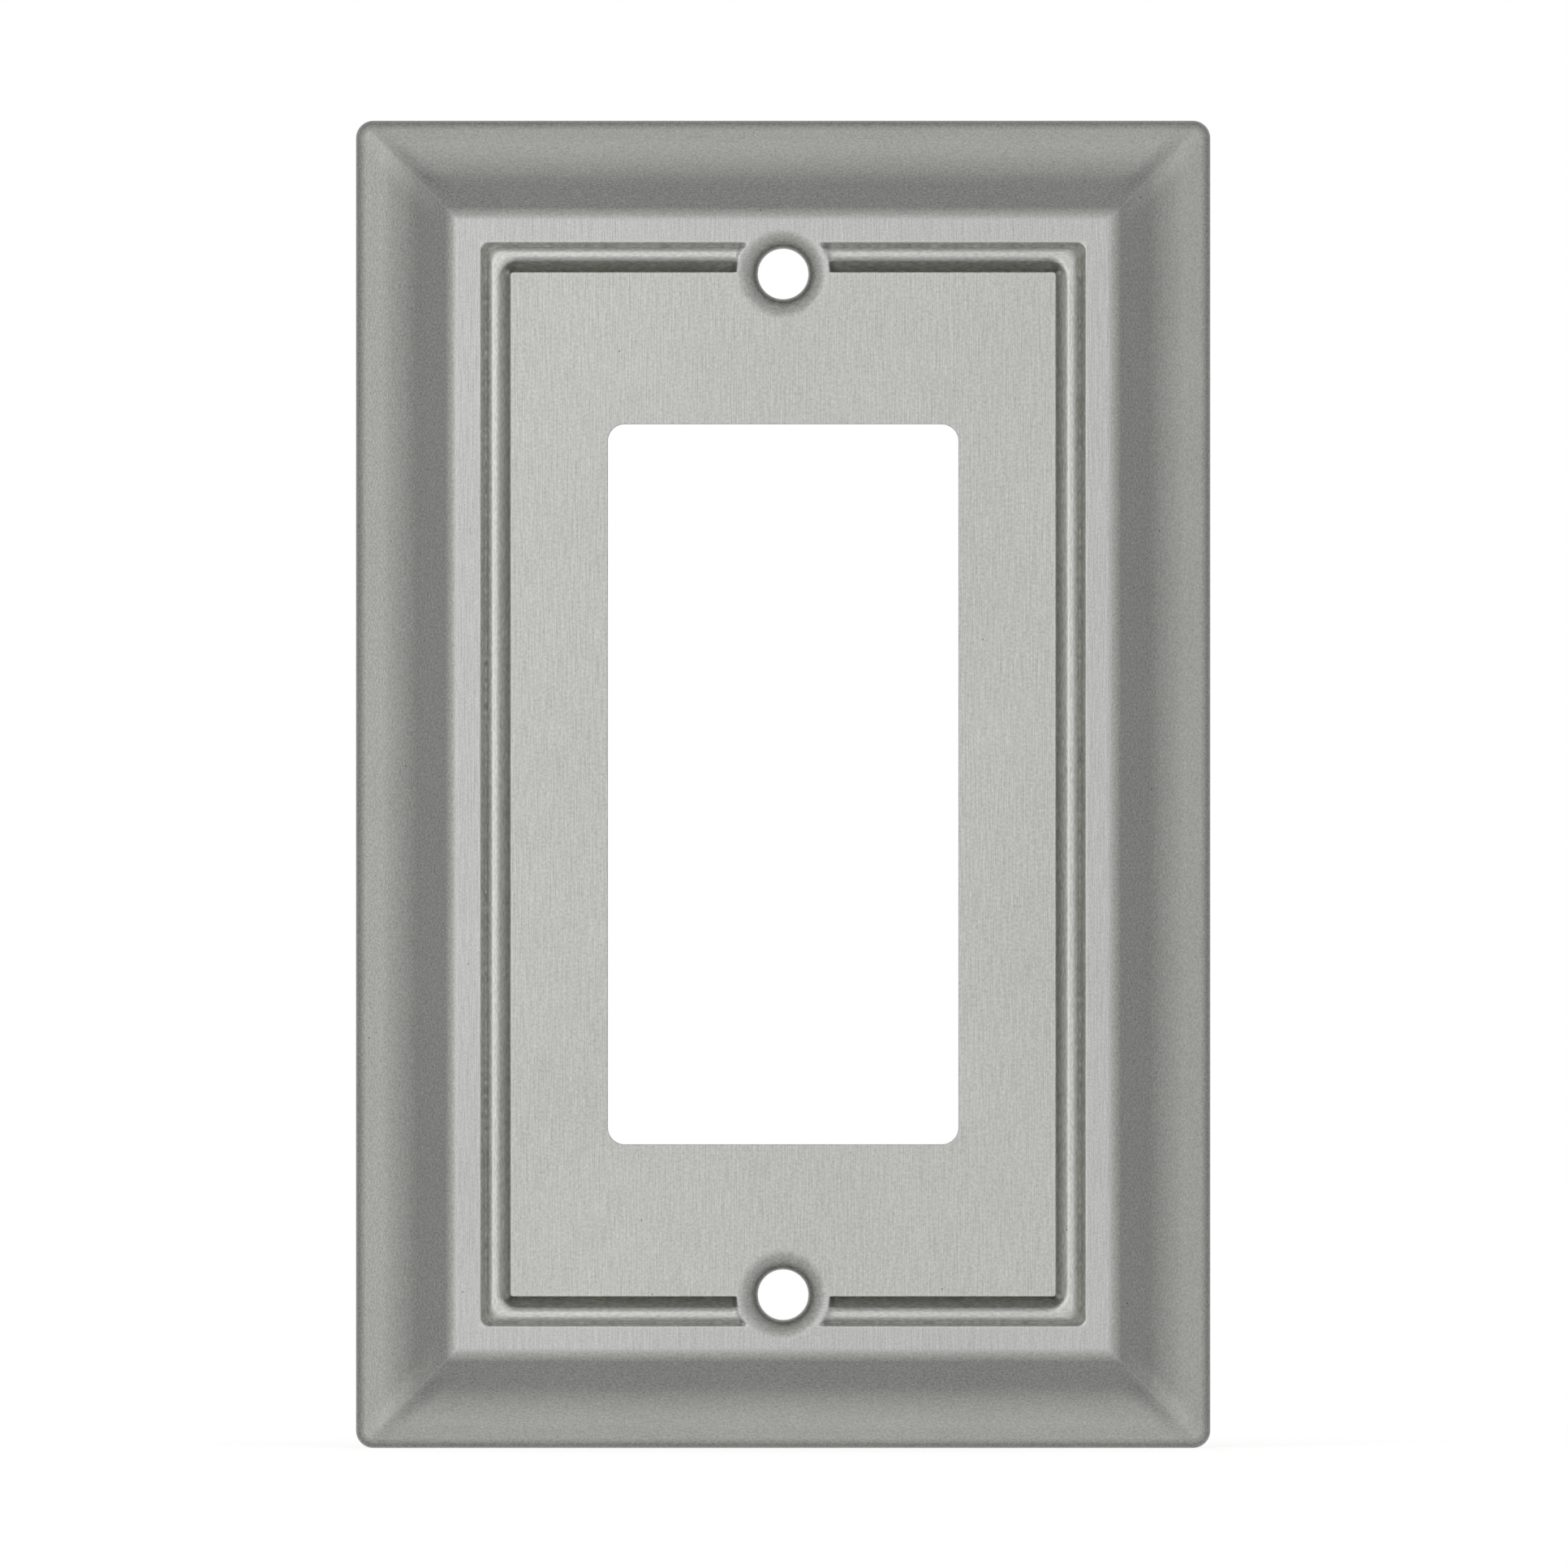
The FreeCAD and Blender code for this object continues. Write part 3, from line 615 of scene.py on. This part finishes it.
def hole_rings(layout, grid, front, back, hole_z):
    """Rings of one screw hole, from its border on the face to its border on the hollow.

    On the face they shrink evenly from the border to the bell's mouth. Then they follow the hole's
    section, turned about its axis, up the boss to its root, and on the hollow they grow evenly from
    the boss's circle to the border, at the hollow's height.
    """
    x, z = grid.x.ravel(), grid.z.ravel()
    front_x, front_z = x[front], z[front] - hole_z
    back_x, back_z = x[back], z[back] - hole_z
    front_angle = np.unwrap(np.arctan2(front_z, front_x))
    back_angle = np.unwrap(np.arctan2(back_z, back_x))
    section, along = hole_section(layout)
    boss = layout.sizes.boss_radius

    def hollow_height(up):
        """The hollow's height this far above or below the plate's middle, by its section at the ends."""
        behind = grid.end_section[grid.starts[3]:]
        return np.interp(np.abs(up), behind[:, 0], behind[:, 1])

    shrink = np.linspace(0, 1, FLAT_RINGS + 2)[1:-1, None]
    mouth_x, mouth_z = section[0, 0] * np.cos(front_angle), section[0, 0] * np.sin(front_angle)
    flat_x, flat_z = front_x + (mouth_x - front_x) * shrink, front_z + (mouth_z - front_z) * shrink
    flat = np.stack((flat_x, flat_z + hole_z, np.full(flat_x.shape, layout.face)), axis=2)

    turned = front_angle + (back_angle - front_angle) * along[:, None]
    turned_x, turned_z = section[:, :1] * np.cos(turned), section[:, :1] * np.sin(turned)
    turned_height = np.repeat(section[:, 1:], len(front), axis=1)
    tube = np.stack((turned_x, turned_z + hole_z, turned_height), axis=2)

    boss_x, boss_z = boss * np.cos(back_angle), boss * np.sin(back_angle)
    root_height = hollow_height(boss_z + hole_z)
    climb = np.linspace(0, 1, BOSS_RINGS + 1)[1:, None]
    side = np.stack((
        np.repeat(boss_x[None], BOSS_RINGS, axis=0),
        np.repeat(boss_z[None] + hole_z, BOSS_RINGS, axis=0),
        section[-1, 1] + (root_height - section[-1, 1]) * climb,
    ), axis=2)

    grow = np.linspace(0, 1, ROOT_RINGS + 2)[1:-1, None]
    root_x, root_z = boss_x + (back_x - boss_x) * grow, boss_z + (back_z - boss_z) * grow + hole_z
    root = np.stack((root_x, root_z, hollow_height(root_z)), axis=2)
    return np.concatenate((flat, tube, side, root))


def closed_faces(numbers):
    """Four-sided faces between neighbouring rows of places, each row closed on itself."""
    onward = np.roll(numbers, -1, axis=1)
    return np.stack((numbers[:-1], onward[:-1], onward[1:], numbers[1:]), axis=2)


def plate_surface(layout):
    """The whole plate as one closed surface: the grid with four windows, joined by two holes."""
    grid = Grid(layout)
    rows, columns = grid.x.shape
    numbers = np.arange(rows * columns).reshape(rows, columns)
    grid_faces = closed_faces(np.vstack((numbers, numbers[:1])))
    places = [np.stack((grid.x, grid.z, grid.height), axis=2).reshape(-1, 3)]
    count = rows * columns
    keep = np.ones(grid_faces.shape[:2], bool)
    hole_faces = []
    _, across, through, behind, fall = grid.starts[:5]
    upper, lower = grid.hole_column, grid.hole_column + grid.half_columns
    for column, hole_z in ((upper, layout.hole_z), (lower, -layout.hole_z)):
        for first, after in ((across, through), (behind, fall)):
            keep[first:after - 1, column:column + HOLE_STEPS] = False
        front = grid.hole_border(across, through - 1, column)
        back = grid.hole_border(fall - 1, behind, column)
        rings = hole_rings(layout, grid, front, back, hole_z)
        ring_numbers = count + np.arange(rings.shape[0] * rings.shape[1]).reshape(rings.shape[:2])
        places.append(rings.reshape(-1, 3))
        count += ring_numbers.size
        hole_faces.append(closed_faces(np.vstack((front, ring_numbers, back))).reshape(-1, 4))
    faces = np.concatenate([grid_faces[keep].reshape(-1, 4)] + hole_faces)
    used, faces = np.unique(faces, return_inverse=True)
    out = np.concatenate(places)[used]
    return np.stack((out[:, 0], -out[:, 2], out[:, 1]), axis=1), faces.reshape(-1, 4)


def new_piece(name, places, faces, material):
    """A smooth-shaded mesh object at the origin, from arrays of places and of four-sided faces."""
    mesh = bpy.data.meshes.new(name)
    mesh.vertices.add(len(places))
    mesh.vertices.foreach_set("co", places.astype(np.float32).ravel())
    mesh.loops.add(faces.size)
    mesh.loops.foreach_set("vertex_index", faces.astype(np.int32).ravel())
    mesh.polygons.add(len(faces))
    mesh.polygons.foreach_set("loop_start", np.arange(0, faces.size, faces.shape[1], dtype=np.int32))
    mesh.polygons.foreach_set("use_smooth", np.ones(len(faces), bool))
    mesh.update(calc_edges=True)
    mesh.validate()
    mesh.materials.append(material)
    piece = bpy.data.objects.new(name, mesh)
    bpy.context.scene.collection.objects.link(piece)
    return piece


# Materials
class Nodes:
    """A node tree, with a short call for each kind of node that is used more than once."""

    def __init__(self, owner):
        owner.use_nodes = True
        self.tree = owner.node_tree
        self.tree.nodes.clear()

    def add(self, kind, sockets=None, **settings):
        """A new node. A socket is given a value, or another node's output to be linked from."""
        made = self.tree.nodes.new(f"ShaderNode{kind}")
        for name, value in settings.items():
            setattr(made, name, value)
        for name, value in (sockets or {}).items():
            socket = made.inputs[name]
            if isinstance(value, bpy.types.NodeSocket):
                self.tree.links.new(value, socket)
            else:
                socket.default_value = value
        return made

    def sum(self, operation, first, second=0.0, third=0.0):
        """The outcome of one operation on up to three numbers."""
        return self.add("Math", {0: first, 1: second, 2: third}, operation=operation).outputs[0]

    def product(self, first, *others):
        """All the numbers multiplied together."""
        for other in others:
            first = self.sum("MULTIPLY", first, other)
        return first

    def scaled(self, vector, share):
        """A vector or a colour, each part of it times a number."""
        return self.add("VectorMath", {0: vector, "Scale": share}, operation="SCALE").outputs[0]

    def mix(self, share, first, second):
        """A number between two, by the share of the second."""
        return self.add("Mix", {0: share, 2: first, 3: second}, data_type="FLOAT").outputs[0]

    def blend(self, share, first, second):
        """A colour between two, by the share of the second."""
        return self.add("Mix", {0: share, 6: first, 7: second}, data_type="RGBA").outputs[2]

    def fade(self, value, start, end, start_level, end_level):
        """A smooth step from one level at the start to another at the end, and level beyond both."""
        return self.add("MapRange", {
            "Value": value, "From Min": start, "From Max": end,
            "To Min": start_level, "To Max": end_level,
        }, interpolation_type="SMOOTHSTEP").outputs[0]

    def noise(self, vector, size, detail):
        """A cloudy pattern whose patches are about the given size, in metres."""
        return self.add(
            "TexNoise", {"Vector": vector, "Scale": 1.0 / size, "Detail": detail}
        ).outputs["Fac"]


class Zones:
    """Where a point of the plate's surface lies: distances in metres, and shares from nought to one."""

    def __init__(self, nodes, layout):
        sizes = layout.sizes
        self.place = nodes.add("TexCoord").outputs["Object"]
        self.x, self.y, self.z = nodes.add("SeparateXYZ", {0: self.place}).outputs
        across, up = nodes.sum("ABSOLUTE", self.x), nodes.sum("ABSOLUTE", self.z)
        self.depth = nodes.sum("SUBTRACT", self.y, CAD_LOW.y)

        def past(corner):
            """How far out a point lies beyond a rectangle about the plate's middle."""
            past_side = nodes.sum("SUBTRACT", across, corner[0])
            return nodes.sum("MAXIMUM", past_side, nodes.sum("SUBTRACT", up, corner[1]))

        self.past_panel = past(layout.panel)
        self.past_channel = past(layout.channel)
        self.past_platform = past(layout.platform)
        mitre = layout.platform[1] - layout.platform[0]
        self.past_mitre = nodes.sum("SUBTRACT", nodes.sum("SUBTRACT", up, across), mitre)

        self.off_panel = nodes.sum("GREATER_THAN", self.past_panel, 0.0)
        on_border = nodes.sum("GREATER_THAN", self.past_channel, 0.0)
        self.in_front = nodes.sum("LESS_THAN", self.depth, sizes.wall_thickness - sizes.edge_break)
        self.in_channel = nodes.product(nodes.sum("SUBTRACT", self.off_panel, on_border), self.in_front)
        self.at_end = nodes.sum("GREATER_THAN", self.past_mitre, 0.0)
        above_hole = nodes.sum("SUBTRACT", up, layout.hole_z)
        hole_offset = nodes.add("CombineXYZ", {0: across, 1: above_hole}).outputs[0]
        from_hole = nodes.add("VectorMath", {0: hole_offset}, operation="LENGTH").outputs["Value"]
        self.clear_of_hole = nodes.fade(from_hole, sizes.collar_radius, layout.front_reach, 0.0, 1.0)

        normal = nodes.add("TexCoord").outputs["Normal"]
        facing = nodes.add("SeparateXYZ", {0: normal}).outputs["Y"]
        self.faces_out = nodes.sum("LESS_THAN", facing, 0.0)
        self.steepness = nodes.sum("SUBTRACT", 1.0, nodes.sum("ABSOLUTE", facing))


def grain_pattern(nodes, zones, size):
    """Mottle, stretched along the side or the end that it lies on, and finer off the panel."""
    stretch = nodes.sum("MULTIPLY_ADD", zones.off_panel, MOULDING_STRETCH, 1.0)
    stretch = nodes.sum("MULTIPLY_ADD", zones.in_channel, CHANNEL_STRETCH, stretch)
    extra = nodes.sum("SUBTRACT", stretch, 1.0)
    wide = nodes.sum("MULTIPLY_ADD", extra, zones.at_end, 1.0)
    tall = nodes.sum("SUBTRACT", nodes.sum("ADD", stretch, 1.0), wide)
    place = nodes.add("CombineXYZ", {
        0: nodes.sum("DIVIDE", zones.x, wide), 1: zones.y, 2: nodes.sum("DIVIDE", zones.z, tall),
    }).outputs[0]
    fineness = nodes.sum("MULTIPLY_ADD", zones.off_panel, MOULDING_FINENESS, 1.0)
    return nodes.noise(nodes.scaled(place, fineness), size, FINE_DETAIL)


def brush_pattern(nodes, zones, wide, tall):
    """Brush marks, which run up and down the plate."""
    stretched = nodes.add(
        "Mapping", {"Vector": zones.place, "Scale": (1.0 / wide, 1.0 / wide, 1.0 / tall)}
    ).outputs[0]
    return nodes.noise(stretched, 1.0, FINE_DETAIL)


def brush_reach(nodes, zones):
    """Where the brush has been: the flats, down to a ragged edge a tenth of a millimetre below them."""
    ragged = nodes.noise(zones.place, RAGGED_SIZE, FINE_DETAIL)
    ragged_depth = nodes.sum("MULTIPLY_ADD", ragged, RAGGED_DEPTH, zones.depth)
    full_depth = RAGGED_DEPTH * NOISE_MIDDLE
    return nodes.fade(ragged_depth, full_depth, full_depth + BRUSH_FADE, 1.0, 0.0)


def painted_edge_highlight(nodes, zones):
    """Painted highlight on the panel's and the platform's flats along the channel, clear of the holes."""
    panel_edge = nodes.fade(zones.past_panel, -EDGE_HIGHLIGHT_REACH, 0.0, 0.0, 1.0)
    border_edge = nodes.fade(zones.past_channel, 0.0, EDGE_HIGHLIGHT_REACH, 1.0, 0.0)
    edge = nodes.mix(zones.off_panel, panel_edge, border_edge)
    beside_channel = nodes.sum("SUBTRACT", zones.in_front, zones.in_channel)
    return nodes.product(edge, beside_channel, zones.clear_of_hole)


def smooth_bead_and_highlight(nodes, zones, bead_drop):
    """The bead's top, clear of the holes: smoother there, and lightened as a painted highlight."""
    top = nodes.fade(zones.depth, bead_drop, bead_drop + BEAD_SHINE_DEPTH, 1.0, 0.0)
    return nodes.product(top, zones.in_channel, zones.clear_of_hole)


def painted_moulding_light(nodes, zones):
    """Painted highlight and shade that the mouldings' tone gets.

    Along each mitre a band on the side's half is lightened as a painted highlight and one on the end's
    half is darkened as painted shade. Both fade towards the platform and the rim. Between the mitres
    the ends' cove is lightened as painted light.
    """
    lighter = nodes.fade(zones.past_mitre, *MITRE_HIGHLIGHT_BAND, 0.0, MITRE_HIGHLIGHT_TONE)
    drop = nodes.fade(zones.past_mitre, *MITRE_LINE, 0.0, -MITRE_HIGHLIGHT_TONE - MITRE_SHADE_TONE)
    back = nodes.fade(zones.past_mitre, *MITRE_SHADE_BAND, 0.0, MITRE_SHADE_TONE)
    bands = nodes.sum("ADD", nodes.sum("ADD", lighter, drop), back)
    inner_share = nodes.fade(zones.past_platform, *MITRE_INNER_FADE, 0.0, 1.0)
    outer_share = nodes.fade(zones.past_platform, *MITRE_OUTER_FADE, 1.0, MITRE_RIM_SHARE)
    mitre_tone = nodes.product(bands, inner_share, outer_share)

    cove_rise = nodes.fade(zones.past_platform, *COVE_INNER_FADE, 0.0, COVE_LIGHT_TONE)
    cove_drop = nodes.fade(zones.past_platform, *COVE_OUTER_FADE, 0.0, -COVE_LIGHT_TONE)
    between_mitres = nodes.fade(zones.past_mitre, *MITRE_SHADE_BAND, 0.0, 1.0)
    cove_tone = nodes.product(nodes.sum("ADD", cove_rise, cove_drop), between_mitres)
    return nodes.product(nodes.sum("ADD", mitre_tone, cove_tone), zones.faces_out)


def satin_nickel(finish, layout):
    """Satin nickel: mottled plating, brushed up and down on flats, a few pits, painted highlight and shade.
    """
    material = bpy.data.materials.new("satin_nickel")
    nodes = Nodes(material)
    zones = Zones(nodes, layout)
    grain = grain_pattern(nodes, zones, finish.grain_size)
    streak = brush_pattern(nodes, zones, finish.streak_width, finish.streak_length)
    cloud = nodes.noise(zones.place, finish.cloud_size, CLOUD_DETAIL)
    brushed = brush_reach(nodes, zones)
    bead_top = smooth_bead_and_highlight(nodes, zones, layout.sizes.bead_drop)

    # Tone, from all the patterns, each about its middle, then the painted highlights and shade
    tone = nodes.sum("MULTIPLY_ADD", cloud, CLOUD_TONE, 1.0 - CLOUD_TONE * NOISE_MIDDLE)
    steepness = nodes.sum("MINIMUM", zones.steepness, MOST_STEEP)
    slope_tone = nodes.sum("MULTIPLY_ADD", steepness, STEEP_GRAIN_TONE, SLOPE_GRAIN_TONE)
    grain_tone = nodes.mix(brushed, slope_tone, FLAT_GRAIN_TONE)
    tone = nodes.sum("MULTIPLY_ADD", nodes.sum("SUBTRACT", grain, NOISE_MIDDLE), grain_tone, tone)
    brush_tone = nodes.sum("MULTIPLY_ADD", streak, STREAK_TONE, -STREAK_TONE * NOISE_MIDDLE)
    tone = nodes.sum("MULTIPLY_ADD", brush_tone, brushed, tone)
    # Painted highlight along the panel's and the platform's edges beside the channel
    tone = nodes.sum("MULTIPLY_ADD", painted_edge_highlight(nodes, zones), PAINTED_EDGE_HIGHLIGHT_TONE, tone)
    # Painted highlight along the bead's top; its lower roughness there is real
    tone = nodes.sum("MULTIPLY_ADD", bead_top, BEAD_HIGHLIGHT_TONE, tone)
    # Painted highlight and shade along the mitres, and painted light in the ends' cove
    tone = nodes.sum("ADD", tone, painted_moulding_light(nodes, zones))

    # Colour, with the pits
    on_platform = nodes.product(brushed, zones.off_panel)
    nickel = nodes.blend(on_platform, (*finish.nickel, 1.0), (*finish.border_nickel, 1.0))
    flat_place = nodes.add("CombineXYZ", {0: zones.x, 1: zones.z}).outputs[0]
    pits = nodes.add(
        "TexVoronoi", {"Vector": flat_place, "Scale": 1.0 / PIT_SPACING}, voronoi_dimensions="2D"
    ).outputs["Distance"]
    pit = nodes.fade(pits, PIT_CORE / PIT_SPACING, PIT_RADIUS / PIT_SPACING, 1.0, 0.0)
    surface = nodes.blend(pit, nodes.scaled(nickel, tone), (*finish.speck, 1.0))

    # Roughness and relief
    rough = nodes.mix(brushed, finish.slope_roughness, finish.flat_roughness)
    rough = nodes.mix(bead_top, rough, finish.bead_roughness)
    rough = nodes.sum("MULTIPLY_ADD", grain, GRAIN_ROUGHNESS, rough)
    rough = nodes.sum("SUBTRACT", rough, GRAIN_ROUGHNESS * NOISE_MIDDLE)
    relief = nodes.mix(brushed, grain, streak)
    relief_depth = nodes.sum("MULTIPLY_ADD", zones.in_channel, CHANNEL_RELIEF - RELIEF_DEPTH, RELIEF_DEPTH)
    bump = nodes.add("Bump", {"Height": relief, "Strength": 1.0, "Distance": relief_depth}).outputs[0]
    shader = nodes.add("BsdfPrincipled", {
        "Base Color": surface, "Metallic": 1.0, "Roughness": rough, "Normal": bump,
    })
    nodes.add("OutputMaterial", {"Surface": shader.outputs[0]})
    return material


def pale_floor(floor, background):
    """A matt floor that the camera sees lifted to white, and that mirrored light passes through."""
    material = bpy.data.materials.new("pale_floor")
    nodes = Nodes(material)
    sight = nodes.add("LightPath").outputs
    matt = nodes.add("BsdfDiffuse", {"Color": (*floor, 1.0)}).outputs[0]
    seen = nodes.sum("MAXIMUM", sight["Is Camera Ray"], sight["Is Transmission Ray"])
    strength = nodes.product(seen, FLOOR_LIFT)
    lift = nodes.add("Emission", {"Color": (*background, 1.0), "Strength": strength}).outputs[0]
    white = nodes.add("AddShader", {0: matt, 1: lift}).outputs[0]
    clear = nodes.add("BsdfTransparent").outputs[0]
    passed = nodes.sum("MAXIMUM", sight["Is Glossy Ray"], sight["Is Shadow Ray"])
    surface = nodes.add("MixShader", {0: passed, 1: white, 2: clear}).outputs[0]
    nodes.add("OutputMaterial", {"Surface": surface})
    return material


# Operators
class WALLPLATE_OT_camera(Operator):
    """A camera straight in front, as far off as its long lens needs for the picture's width"""

    bl_idname = "wallplate.camera"
    bl_label = "Add camera"

    def execute(self, context):
        studio = context.scene.wallplate_studio
        data = bpy.data.cameras.new("camera")
        data.lens = studio.focal_length
        distance = studio.picture_width * studio.focal_length / data.sensor_width
        data.clip_end = VIEW_DEPTH * distance
        camera = bpy.data.objects.new("camera", data)
        camera.location = (studio.offset_right, CAD_LOW.y - distance, studio.offset_up)
        camera.rotation_euler = (math.pi / 2, 0.0, 0.0)
        context.scene.collection.objects.link(camera)
        context.scene.camera = camera
        return {"FINISHED"}


class WALLPLATE_OT_plate(Operator):
    """The cast plate as one closed surface, in satin nickel"""

    bl_idname = "wallplate.plate"
    bl_label = "Add plate"

    def execute(self, context):
        layout = Layout(context.scene.wallplate_sizes)
        places, faces = plate_surface(layout)
        finish = satin_nickel(context.scene.wallplate_finish, layout)
        piece = new_piece("satin_plate", places, faces, finish)
        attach(piece, BODY)
        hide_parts(NODE)
        return {"FINISHED"}


class WALLPLATE_OT_stage(Operator):
    """Pale floor, and soft light that is strongest from in front"""

    bl_idname = "wallplate.stage"
    bl_label = "Add stage"

    def execute(self, context):
        studio = context.scene.wallplate_studio
        self.add_floor(studio)
        self.add_world(context, studio)
        for name, place, side in LAMPS:
            self.add_lamp(context, name, place, side, getattr(studio, name))
        context.scene.view_settings.view_transform = "Standard"
        return {"FINISHED"}

    def add_floor(self, studio):
        """A wide square at the plate's lower edge."""
        half = FLOOR_REACH
        corners = np.array(((-half, -half), (half, -half), (half, half), (-half, half)))
        places = np.column_stack((corners, np.full(len(corners), CAD_LOW.z)))
        material = pale_floor(studio.floor, studio.background)
        floor = new_piece("floor", places, np.array(((0, 1, 2, 3),)), material)

    def add_world(self, context, studio):
        """A world whose light changes evenly from stop to stop as its direction turns from the front.

        It is dimmed a little towards the right. The camera sees it white, and the metal sees that
        white behind the plate.
        """
        world = bpy.data.worlds.new("studio")
        nodes = Nodes(world)
        direction = nodes.add("TexCoord").outputs["Generated"]
        right, back, _ = nodes.add("SeparateXYZ", {0: direction}).outputs
        away = nodes.sum("ARCCOSINE", nodes.product(back, -1.0))
        ramp = nodes.add("ValToRGB", {0: nodes.sum("DIVIDE", away, math.pi)})
        stops = ramp.color_ramp.elements
        for degrees, _ in LIGHT_STOPS[1:-1]:
            stops.new(math.radians(degrees) / math.pi)
        for stop, (_, setting) in zip(stops, LIGHT_STOPS):
            value = getattr(studio, setting)
            stop.color = (value, value, value, 1.0)
        rightward = nodes.sum("MAXIMUM", right, 0.0)
        dimmed = nodes.sum("MULTIPLY_ADD", rightward, -studio.right_dimming, 1.0)
        sight = nodes.add("LightPath").outputs
        seen = nodes.sum("MAXIMUM", sight["Is Camera Ray"], sight["Is Transmission Ray"])
        light = nodes.blend(seen, nodes.scaled(ramp.outputs[0], dimmed), (*studio.background, 1.0))
        surface = nodes.add("Background", {"Color": light, "Strength": 1.0}).outputs[0]
        nodes.add("OutputWorld", {"Surface": surface})
        context.scene.world = world

    def add_lamp(self, context, name, place, side, radiance):
        """A square lamp that looks at the plate's middle. Its power is radiance times pi times area."""
        data = bpy.data.lights.new(name, "AREA")
        data.size = side
        data.energy = math.pi * side ** 2 * radiance
        lamp = bpy.data.objects.new(name, data)
        lamp.location = place
        lamp.rotation_euler = (-lamp.location).to_track_quat("-Z", "Y").to_euler()
        context.scene.collection.objects.link(lamp)


class WALLPLATE_PT_panel(Panel):
    """Everything that this file makes, with its sizes"""

    bl_idname = "WALLPLATE_PT_panel"
    bl_label = "Wall plate"
    bl_space_type = "VIEW_3D"
    bl_region_type = "UI"
    bl_category = "Wall plate"

    def draw(self, context):
        for operator in OPERATORS:
            self.layout.operator(operator.bl_idname)
        for group_name in GROUPS:
            group = getattr(context.scene, group_name)
            box = self.layout.box()
            for name in group.__annotations__:
                box.prop(group, name)


OPERATORS = (WALLPLATE_OT_camera, WALLPLATE_OT_plate, WALLPLATE_OT_stage)
GROUPS = {
    "wallplate_sizes": PlateSizes,
    "wallplate_finish": FinishColours,
    "wallplate_studio": StudioSettings,
}


def register():
    for one in (*GROUPS.values(), *OPERATORS, WALLPLATE_PT_panel):
        bpy.utils.register_class(one)
    for name, group in GROUPS.items():
        setattr(bpy.types.Scene, name, PointerProperty(type=group))


def unregister():
    for name in GROUPS:
        delattr(bpy.types.Scene, name)
    for one in (WALLPLATE_PT_panel, *reversed(OPERATORS), *reversed(GROUPS.values())):
        bpy.utils.unregister_class(one)


def main():
    register()
    bpy.ops.wallplate.camera()
    bpy.ops.wallplate.plate()
    bpy.ops.wallplate.stage()


if __name__ == "__main__":
    main()
